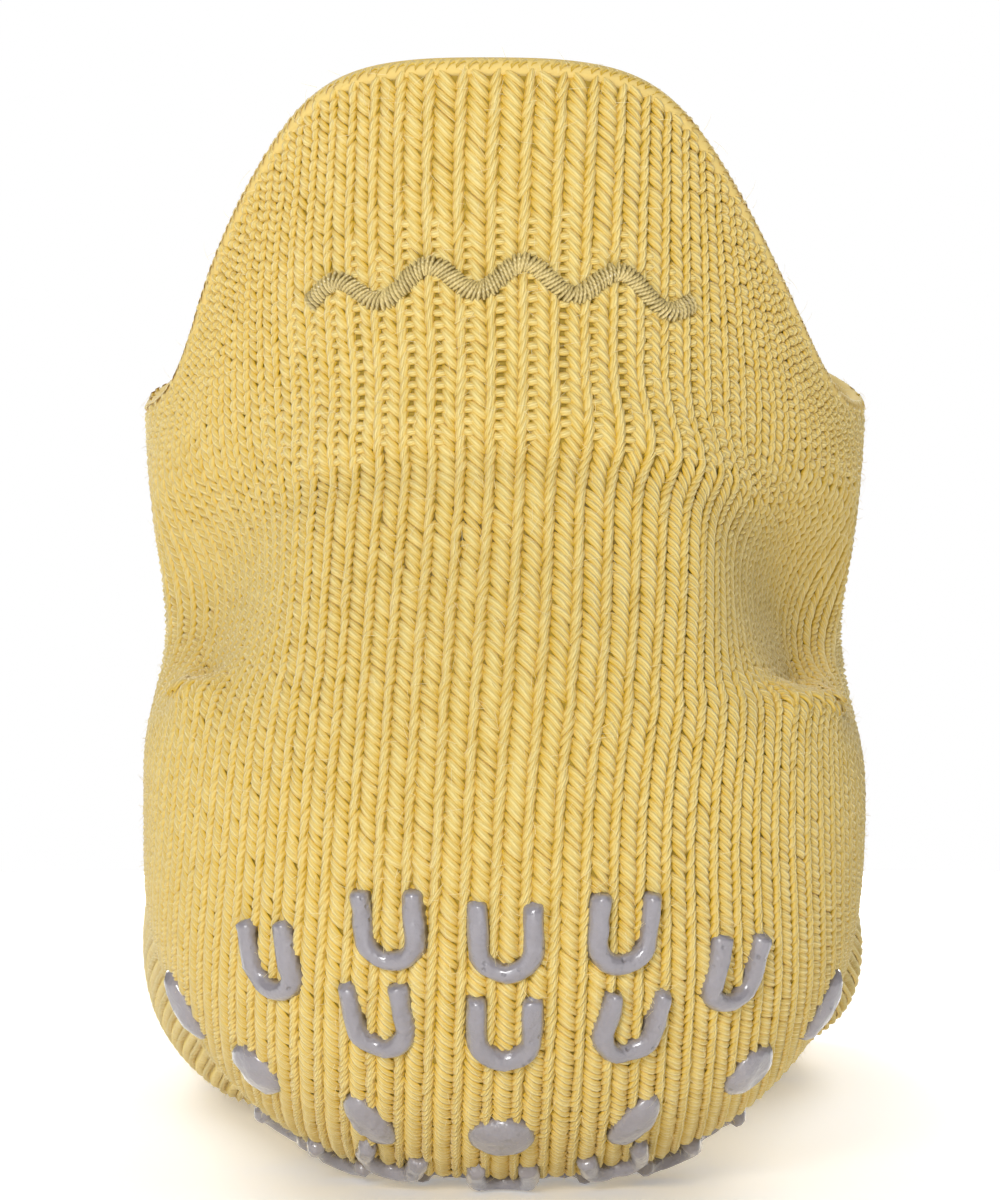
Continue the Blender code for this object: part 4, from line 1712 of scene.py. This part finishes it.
@dataclass
class SiliconePads:
    """The domed grips that are printed on the heel and under the sole.

    The places on the back and in the band are across and up, in millimetres. A row under the sole has a
    name, percents of the length, a count and a middle in millimetres.
    """

    form: SockForm
    u_width: float = 6.6 * MM
    u_height: float = 7.4 * MM
    stroke: float = 1.9 * MM
    bar: Pair = (4.0 * MM, 7.6 * MM)
    disc: Pair = (6.0 * MM, 6.0 * MM)
    lift: float = 1.22 * MM
    root: float = -0.30 * MM
    row_pitch: float = 10.0 * MM
    ball_lag: float = 0.22
    end_shares: tuple[float, ...] = (1.0, 0.94, 0.78, 0.5, 0.2)
    arm_shares: tuple[float, ...] = (0.0, 0.3, 0.65)
    bend_steps: int = 12
    rail_shares: tuple[float, ...] = (-1.0, -0.86, -0.5, 0.0, 0.5, 0.86, 1.0)
    end_power: float = 4.0
    end_least: float = 0.18
    u_power: float = 2.6
    oval_power: float = 2.8
    oval_rings: tuple[float, ...] = (1.0, 0.92, 0.74, 0.45)
    oval_points: int = 20
    back_places: tuple[Pair, ...] = (
        (-9.4, 24.5), (0.5, 23.5), (10.4, 24.2), (-19.8, 21.6),
        (20.0, 20.4), (-10.4, 16.6), (0.3, 15.6), (11.0, 16.1),
    )
    band_places: tuple[Pair, ...] = (
        (-28.8, 16.5), (-21.8, 11.3), (-11.6, 7.2), (0.0, 6.0),
        (11.6, 7.2), (21.8, 11.3), (28.8, 16.5),
    )
    sole_rows: tuple[tuple[str, float, int, float], ...] = (
        ("heel_1", 11.0, 3, 0.0),
        ("heel_2", 15.6, 4, 0.0),
        ("heel_3", 20.2, 5, -0.5),
        ("heel_4", 24.8, 4, -1.0),
        ("ball_1", 54.0, 5, -2.0),
        ("ball_2", 59.0, 6, -1.0),
        ("ball_3", 64.0, 7, 0.0),
        ("ball_4", 69.0, 6, 4.0),
    )

    def places(self) -> list[PadPlace]:
        """All the grips' places, in the solids' frame."""
        far = self.form.length
        shift = Vector(self.form.shift)
        forward, upward = Vector((0.0, 1.0, 0.0)), Vector((0.0, 0.0, 1.0))
        found = []
        for count, (x, z) in enumerate(self.back_places, 1):
            start = Vector((x * MM, -far, z * MM)) + shift
            found.append(PadPlace(f"grip_back_{count}", PadShape.HORSESHOE, start, forward, upward))
        for count, (x, z) in enumerate(self.band_places, 1):
            shape = PadShape.BAR if count % 2 else PadShape.DISC
            start = Vector((x * MM, -far, z * MM)) + shift
            found.append(PadPlace(f"grip_band_{count}", shape, start, forward, upward))
        for name, share, number, middle in self.sole_rows:
            for count in range(number):
                x = (count - (number - 1) / 2) * self.row_pitch
                y = share * self.form.length / 100 + x * self.ball_lag * name.startswith("ball")
                start = Vector((x + middle * MM, y, -far)) + shift
                node = f"grip_{name}_{count + 1}"
                found.append(PadPlace(node, PadShape.HORSESHOE, start, upward, -forward))
        return found

    def crown(self, share: float) -> float:
        """Height over the knit at a share of the way up the dome."""
        return self.root + (self.lift - self.root) * share

    def ribbon(self) -> Mesh:
        """A domed horseshoe with softly squared ends, open towards +Y; z is its height over the knit."""
        radius = (self.u_width - self.stroke) / 2
        half = self.stroke / 2
        bend_y = radius + half - self.u_height / 2
        straight = self.u_height / 2 - bend_y - half
        stops = [-half * share for share in self.end_shares]
        stops += [straight * share for share in self.arm_shares]
        arms = [(Vector((-radius, bend_y + straight - stop)), Vector((1.0, 0.0)), stop) for stop in stops]
        line = list(arms)
        for step in range(self.bend_steps + 1):
            turn = math.pi * step / self.bend_steps
            inward = Vector((math.cos(turn), math.sin(turn)))
            line.append((Vector((0.0, bend_y)) - radius * inward, inward, straight))
        line += [(Vector((-place.x, place.y)), -inward, stop) for place, inward, stop in reversed(arms)]
        pad = bmesh.new()
        rails = []
        for place, inward, stop in line:
            ending = max(1.0 - (min(stop, 0.0) / half) ** self.end_power, 0.0) ** (1.0 / self.end_power)
            rail = []
            for share in self.rail_shares:
                spot = place + inward * half * share * max(ending, self.end_least)
                dome = max(1.0 - abs(share) ** self.u_power, 0.0) ** 0.5 * ending**0.5
                rail.append(pad.verts.new((spot.x, spot.y, self.crown(dome))))
            rails.append(rail)
        for near, far in zip(rails, rails[1:]):
            for index in range(len(self.rail_shares) - 1):
                pad.faces.new((near[index], far[index], far[index + 1], near[index + 1]))
            pad.faces.new((near[-1], far[-1], far[0], near[0]))
        pad.faces.new(rails[0])
        pad.faces.new(list(reversed(rails[-1])))
        return self.closed("pad_horseshoe", pad)

    def oval(self, name: str, size: Pair) -> Mesh:
        """A domed oval whose z is its height over the knit."""
        pad = bmesh.new()
        points = self.oval_points
        turns = [index * 2 * math.pi / points for index in range(points)]
        rings = []
        for share in self.oval_rings:
            z = self.crown(max(1.0 - share**self.oval_power, 0.0) ** 0.5)
            ring = []
            for turn in turns:
                x, y = math.cos(turn) * size[0] / 2 * share, math.sin(turn) * size[1] / 2 * share
                ring.append(pad.verts.new((x, y, z)))
            rings.append(ring)
        for outer, inner in zip(rings, rings[1:]):
            for index in range(points):
                after = (index + 1) % points
                pad.faces.new((outer[index], outer[after], inner[after], inner[index]))
        top = pad.verts.new((0.0, 0.0, self.lift))
        base = pad.verts.new((0.0, 0.0, self.root))
        for index in range(points):
            after = (index + 1) % points
            pad.faces.new((rings[-1][index], rings[-1][after], top))
            pad.faces.new((rings[0][after], rings[0][index], base))
        return self.closed(name, pad)

    @staticmethod
    def closed(name: str, pad: bmesh.types.BMesh) -> Mesh:
        """A mesh of the pad with its faces outwards and its heights kept as an attribute."""
        bmesh.ops.remove_doubles(pad, verts=pad.verts, dist=1e-6)
        bmesh.ops.recalc_face_normals(pad, faces=pad.faces)
        mesh = bpy.data.meshes.new(name)
        pad.to_mesh(mesh)
        pad.free()
        lift = mesh.attributes.new("lift", "FLOAT", "POINT")
        lift.data.foreach_set("value", vertex_array(mesh)[:, 2].astype(np.float32))
        return mesh

    def shapes(self) -> dict[PadShape, Mesh]:
        """One mesh for each outline."""
        return {
            PadShape.HORSESHOE: self.ribbon(),
            PadShape.BAR: self.oval("pad_bar", self.bar),
            PadShape.DISC: self.oval("pad_disc", self.disc),
        }


class PadTree:
    """A Geometry Nodes tree that lays a pad on a point and wraps it to the knit."""

    EDGE_SCALE = 420.0
    LUMP_SCALE = 560.0
    LUMP_RAMP = (0.9, 0.50)
    STAND_OFF = 6.0 * MM
    REACH = 30.0 * MM

    def __init__(self) -> None:
        """Builds the tree."""
        self.tree = bpy.data.node_groups.new("silicone_pads", "GeometryNodeTree")
        add_input(self.tree, "Points", "Geometry")
        self.shape = add_input(self.tree, "Pad", "Object")
        self.knit = add_input(self.tree, "Knit", "Object")
        add_input(self.tree, "Uneven edge", "Float", 0.62 * MM)
        self.finish = add_input(self.tree, "Silicone", "Material")
        self.tree.interface.new_socket("Pads", in_out="OUTPUT", socket_type="NodeSocketGeometry")
        self.build()

    def build(self) -> None:
        """Adds the nodes: a pad in the point's frame, thrown on to the knit along the point's normal."""
        make = TreeMaker(self.tree)
        points, shape, knit, uneven_edge, finish = make.add("NodeGroupInput").outputs[:5]
        pad = make.add("GeometryNodeObjectInfo", {"Object": shape}, transform_space="ORIGINAL")
        target = make.add("GeometryNodeObjectInfo", {"Object": knit}, transform_space="ORIGINAL")
        normal = make.attribute("pad_normal")
        turn = make.turn(normal, make.attribute("pad_up"))
        laid = make.add(
            "GeometryNodeInstanceOnPoints",
            {"Points": points, "Instance": pad.outputs["Geometry"], "Rotation": turn},
        )
        real = make.add("GeometryNodeRealizeInstances", {0: laid.outputs[0]})
        place = make.add("GeometryNodeInputPosition").outputs[0]
        noise = make.noise(place, self.EDGE_SCALE, 1.0).outputs["Color"]
        centred = make.vector("SUBTRACT", noise, (0.5, 0.5, 0.5))
        loose = make.vector("ADD", place, make.vector("SCALE", centred, uneven_edge))
        hit = make.add(
            "GeometryNodeRaycast",
            {
                "Target Geometry": target.outputs["Geometry"],
                "Source Position": make.vector("ADD", loose, make.vector("SCALE", normal, self.STAND_OFF)),
                "Ray Direction": make.vector("SCALE", normal, -1.0),
                "Ray Length": self.REACH,
            },
            data_type="FLOAT",
        )
        lumps = make.noise(place, self.LUMP_SCALE, 0.0).outputs["Fac"]
        uneven = make.math("MINIMUM", make.math("MULTIPLY_ADD", lumps, *self.LUMP_RAMP), 1.0)
        height = make.math("MULTIPLY", make.attribute("lift", "FLOAT"), uneven)
        final = make.vector("ADD", hit.outputs["Hit Position"], make.vector("SCALE", normal, height))
        wrapped = make.add(
            "GeometryNodeSetPosition",
            {"Geometry": real.outputs[0], "Selection": hit.outputs["Is Hit"], "Position": final},
        )
        make.hand_over(wrapped.outputs[0], finish)

    def lay(
        self,
        name: str,
        frame: tuple[Vector, Vector, Vector],
        shape: Mesh,
        knit: Object,
        silicone: Material,
    ) -> Mesh:
        """Makes one pad.

        Args:
            name: The pad's name.
            frame: Its place, normal and upward direction.
            shape: The mesh of its outline.
            knit: What it is wrapped to.
            silicone: Its material.

        Returns:
            A plain mesh of the pad.
        """
        place, normal, up = frame
        vectors = {"pad_normal": np.array([normal]), "pad_up": np.array([up])}
        points = point_mesh(name + "_points", [place], vectors)
        pad = link_object(name + "_shape", shape)
        mesh = run_tree(name, points, self.tree, {self.shape: pad, self.knit: knit, self.finish: silicone})
        bpy.data.objects.remove(pad)
        drop_attributes(mesh, "lift", *vectors)
        return mesh


@dataclass(frozen=True)
class Lamp:
    """A square soft light, placed from the floor under the back of the heel."""

    name: str
    place: Triple
    size: float
    power: float


LAMPS = (
    Lamp("key", (-0.17, -0.90, 0.28), 0.24, 5.7),
    Lamp("big_toe_side", (0.52, 1.25, 0.60), 0.6, 11.0),
    Lamp("little_toe_side", (-0.52, 1.25, 0.60), 0.6, 11.0),
    Lamp("softbox", (0.0, 0.25, 2.2), 3.0, 28.0),
)


@dataclass
class Studio:
    """Pale floor, soft light and the camera.

    The lamps' aim counts from the floor under the back of the heel. The floor's glow is how fast it grows
    outwards, what is added to it, and its least.
    """

    heel_back: float
    middle: float
    distance: float = 0.420
    eye_height: float = 0.044
    aside: float = 0.004
    aim_height: float = 0.0525
    focal_px: float = 4987.7
    frame_px: float = 1200.0
    lamp_aim: Triple = (0.0, 0.04, 0.05)
    surround: float = 0.07
    floor_radius: float = 0.75
    floor_glow: Triple = (2.2, -0.5, 0.27)
    dome_radius: float = 12.0

    @staticmethod
    def look(obj: Object, eye: Vector, aim: Vector) -> None:
        """Puts a camera or a lamp in its place in the scene and turns it to what it looks at."""
        obj.location = eye
        obj.rotation_euler = (aim - eye).to_track_quat("-Z", "Y").to_euler()
        bpy.context.scene.collection.objects.link(obj)

    def camera(self) -> None:
        """Looks at the back of the heel from just above the floor."""
        data = bpy.data.cameras.new("view")
        data.sensor_fit = "VERTICAL"
        data.sensor_height = 36.0
        data.lens = self.focal_px / self.frame_px * data.sensor_height
        data.clip_start = 0.01
        obj = bpy.data.objects.new("view", data)
        eye = Vector((self.middle + self.aside, self.heel_back - self.distance, self.eye_height))
        self.look(obj, eye, Vector((self.middle, self.heel_back, self.aim_height)))
        bpy.context.scene.camera = obj

    def light(self) -> None:
        """A key behind the heel, two lamps ahead of the toes, a large one overhead and a pale surround."""
        heel = Vector((0.0, self.heel_back, 0.0))
        for lamp in LAMPS:
            data = bpy.data.lights.new(lamp.name, "AREA")
            data.size = lamp.size
            data.energy = lamp.power
            obj = bpy.data.objects.new(lamp.name, data)
            self.look(obj, heel + Vector(lamp.place), heel + Vector(self.lamp_aim))
        world = bpy.data.worlds.new("surround")
        world.use_nodes = True
        shade = world.node_tree.nodes["Background"]
        shade.inputs["Color"].default_value = (1.0, 1.0, 1.0, 1.0)
        shade.inputs["Strength"].default_value = self.surround
        bpy.context.scene.world = world
        bpy.context.scene.view_settings.view_transform = "Standard"

    def backdrop(self) -> None:
        """A wide white dome that the camera sees beyond the floor, and that lights nothing."""
        dome = bmesh.new()
        bmesh.ops.create_uvsphere(dome, u_segments=48, v_segments=24, radius=self.dome_radius)
        mesh = bpy.data.meshes.new("backdrop")
        dome.to_mesh(mesh)
        dome.free()
        mesh.shade_smooth()
        material, make = new_material("white_backdrop")
        make.show(make.add("ShaderNodeEmission", {"Color": (1.0, 1.0, 1.0, 1.0), "Strength": 1.0}))
        mesh.materials.append(material)
        backdrop = link_object("backdrop", mesh)
        for ray in ("diffuse", "glossy", "transmission", "volume_scatter", "shadow"):
            setattr(backdrop, "visible_" + ray, False)

    def floor(self) -> None:
        """A round pale floor that passes into the white beyond it."""
        sheet = bmesh.new()
        bmesh.ops.create_circle(sheet, cap_ends=True, segments=96, radius=self.floor_radius)
        mesh = bpy.data.meshes.new("floor")
        sheet.to_mesh(mesh)
        sheet.free()
        material, make = new_material("pale_floor")
        place = make.add("ShaderNodeTexCoord").outputs["Object"]
        reach = make.add("ShaderNodeVectorMath", {0: place}, operation="LENGTH").outputs["Value"]
        pace, start, least = self.floor_glow
        glow = make.math("MULTIPLY_ADD", reach, pace, start)
        look = {
            "Base Color": (0.95, 0.95, 0.95, 1.0),
            "Roughness": 0.7,
            "Emission Color": (1.0, 1.0, 1.0, 1.0),
            "Emission Strength": make.math("MAXIMUM", glow, least),
        }
        make.principled(look)
        mesh.materials.append(material)
        floor = link_object("floor", mesh)


def dress(piece: Object, slot: str, *nodes: str) -> None:
    """Lets a piece ride on the sock and stand for its solids.

    Args:
        piece: The piece.
        slot: Not used.
        *nodes: The solids that it replaces.
    """
    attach(piece, "root")
    if nodes:
        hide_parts(*nodes)
    LOG.info("%s: %d faces", piece.name, len(piece.data.polygons))


def knit_ground(form: SockForm, body: Patch, soft: Mesh, finish: GroundFinish) -> Object:
    """The closed shell under the loops: the knit's depth outside, coloured as painted shade, and its purl
    side within.

    Args:
        form: The sock's form.
        body: The body's tube, with its relief.
        soft: The soft mesh that the tube comes from.
        finish: The shell's two materials.

    Returns:
        The shell, drawn back from the rim so that the turned edge covers it.
    """
    depth, back, most = 0.45 * MM, 0.45 * MM, 0.6
    places = vertex_array(soft)
    corners, chart = corner_chart(soft)
    column, row = np.zeros(len(places)), np.zeros(len(places))
    column[corners], row[corners] = chart[:, 0], chart[:, 1]
    last = float(len(RINGS))
    near = (row > last - 1.0) & (column >= 0.0) & (column <= form.ring_points)
    top = body.at(column[near], np.full(int(near.sum()), last))
    low = body.at(column[near], np.full(int(near.sum()), last - 1.0))
    share = np.minimum(back / np.linalg.norm(top - low, axis=1), most)
    places[near] = body.at(column[near], last - 1.0 + (row[near] - last + 1.0) * (1.0 - share))
    places -= normal_array(soft) * depth
    move_vertices(soft, places)
    soft.materials.clear()
    soft.materials.append(finish.outside())
    soft.materials.append(finish.inside())
    holder = link_object("knit_ground_sheet", soft)
    wall = holder.modifiers.new("wall", "SOLIDIFY")
    wall.thickness = form.wall - depth
    wall.offset = -1.0
    wall.use_even_offset = False
    wall.material_offset = 1
    mesh = evaluated_mesh(holder)
    mesh.name = "knit_ground"
    bpy.data.objects.remove(holder)
    mesh.shade_smooth()
    return link_object("knit_ground", mesh)


def rim_core(knit: KnitBody, finish: GroundFinish) -> Object:
    """The soft core that the knit turns over at its rim.

    Args:
        knit: The sock's knit.
        finish: The ground's materials.

    Returns:
        A closed tube round the collar.
    """
    count, sides = 480, 10
    places, normals, _, downs = knit.rim_frame(count)
    turns = np.arange(sides)[None, :, None] * 2 * math.pi / sides
    rays = normals[:, None] * np.cos(turns) + downs[:, None] * np.sin(turns)
    radius = knit.form.wall / 2
    points = (places + (downs - normals) * radius)[:, None] + rays * radius
    core = bmesh.new()
    rings = [[core.verts.new(point) for point in ring] for ring in points]
    for here, ahead in zip(rings, rings[1:] + rings[:1]):
        for side in range(sides):
            core.faces.new((here[side], here[side - 1], ahead[side - 1], ahead[side]))
    bmesh.ops.recalc_face_normals(core, faces=core.faces)
    mesh = bpy.data.meshes.new("knit_rim")
    core.to_mesh(mesh)
    core.free()
    mesh.shade_smooth()
    mesh.materials.append(finish.edge())
    return link_object("knit_rim", mesh)


def add_pads(form: SockForm, surface: BVHTree, sheet: Object, silicone: Material) -> None:
    """Lays each printed grip on the knit in place of its solid.

    Args:
        form: The sock's form.
        surface: The knit's outer face.
        sheet: The same face as an object, which the grips are wrapped to.
        silicone: The grips' material.
    """
    pads = SiliconePads(form)
    shapes = pads.shapes()
    tree = PadTree()
    for pad in pads.places():
        place, normal = surface.ray_cast(pad.start, pad.ray)[:2]
        mesh = tree.lay(pad.node, (place, normal, pad.up), shapes[pad.shape], sheet, silicone)
        dress(link_object("silicone_" + pad.node, mesh), "silicone", pad.node)


def main() -> None:
    """Builds the sock's pieces in order and reports each one."""
    logging.basicConfig(level=logging.INFO, format="%(name)s %(message)s")
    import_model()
    form = SockForm()
    form.settle("knit_sock")
    LOG.info("form shift %s", form.shift)
    body, toes, soft = form.patches()
    corners = [Vector(place) for place in vertex_array(soft)]
    surface = BVHTree.FromPolygons(corners, [tuple(face.vertices) for face in soft.polygons])
    knit = KnitBody(form, body)
    knit_sheet = link_object("knit_sheet", soft.copy())
    yarn = YarnFinish().material()
    tree = LegTree()
    turning = knit.gore_row + knit.gore_lap
    heel_course, foot_course = knit.loops.course, knit.foot_course
    pieces = [
        ("knit_tab", knit.upper(Side.SOLE, surface), Fineness.FINE),
        ("knit_collar", knit.upper(Side.INSTEP, surface), Fineness.PLAIN),
        ("knit_welt", knit.edge_chain(), Fineness.FINE),
        ("knit_heel", knit.lower(Side.SOLE, knit.heel_row, turning, heel_course), Fineness.FINE),
        ("knit_sole", knit.lower(Side.SOLE, 0.0, knit.heel_row, foot_course), Fineness.PLAIN),
        ("knit_instep", knit.lower(Side.INSTEP, 0.0, turning, foot_course), Fineness.PLAIN),
        ("knit_toes", Legs.joined([knit.toe(patch, surface) for patch in toes]), Fineness.PLAIN),
    ]
    fuzz_root = soft.copy()
    proud_mm = 0.10
    move_vertices(fuzz_root, vertex_array(soft) + normal_array(soft) * proud_mm * MM)
    ground = GroundFinish()
    dress(knit_ground(form, body, soft, ground), "knit", "knit_sock")
    dress(rim_core(knit, ground), "knit")
    for name, legs, fineness in pieces:
        dress(tree.lay(name, legs, fineness, yarn), "knit")
    dress(FuzzTree().scatter("yarn_fuzz", fuzz_root, FuzzFinish().material()), "knit")
    threads = TabMotif(form).threads(surface)
    dress(tree.lay("tab_wave", threads, Fineness.FINE, ThreadFinish().material()), "knit")
    add_pads(form, surface, knit_sheet, SiliconeFinish().material())
    bpy.data.objects.remove(knit_sheet)
    studio = Studio(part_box("knit_sock")[0][1], form.shift[0])
    studio.camera()
    studio.light()
    studio.floor()
    studio.backdrop()


if __name__ == "__main__":
    main()
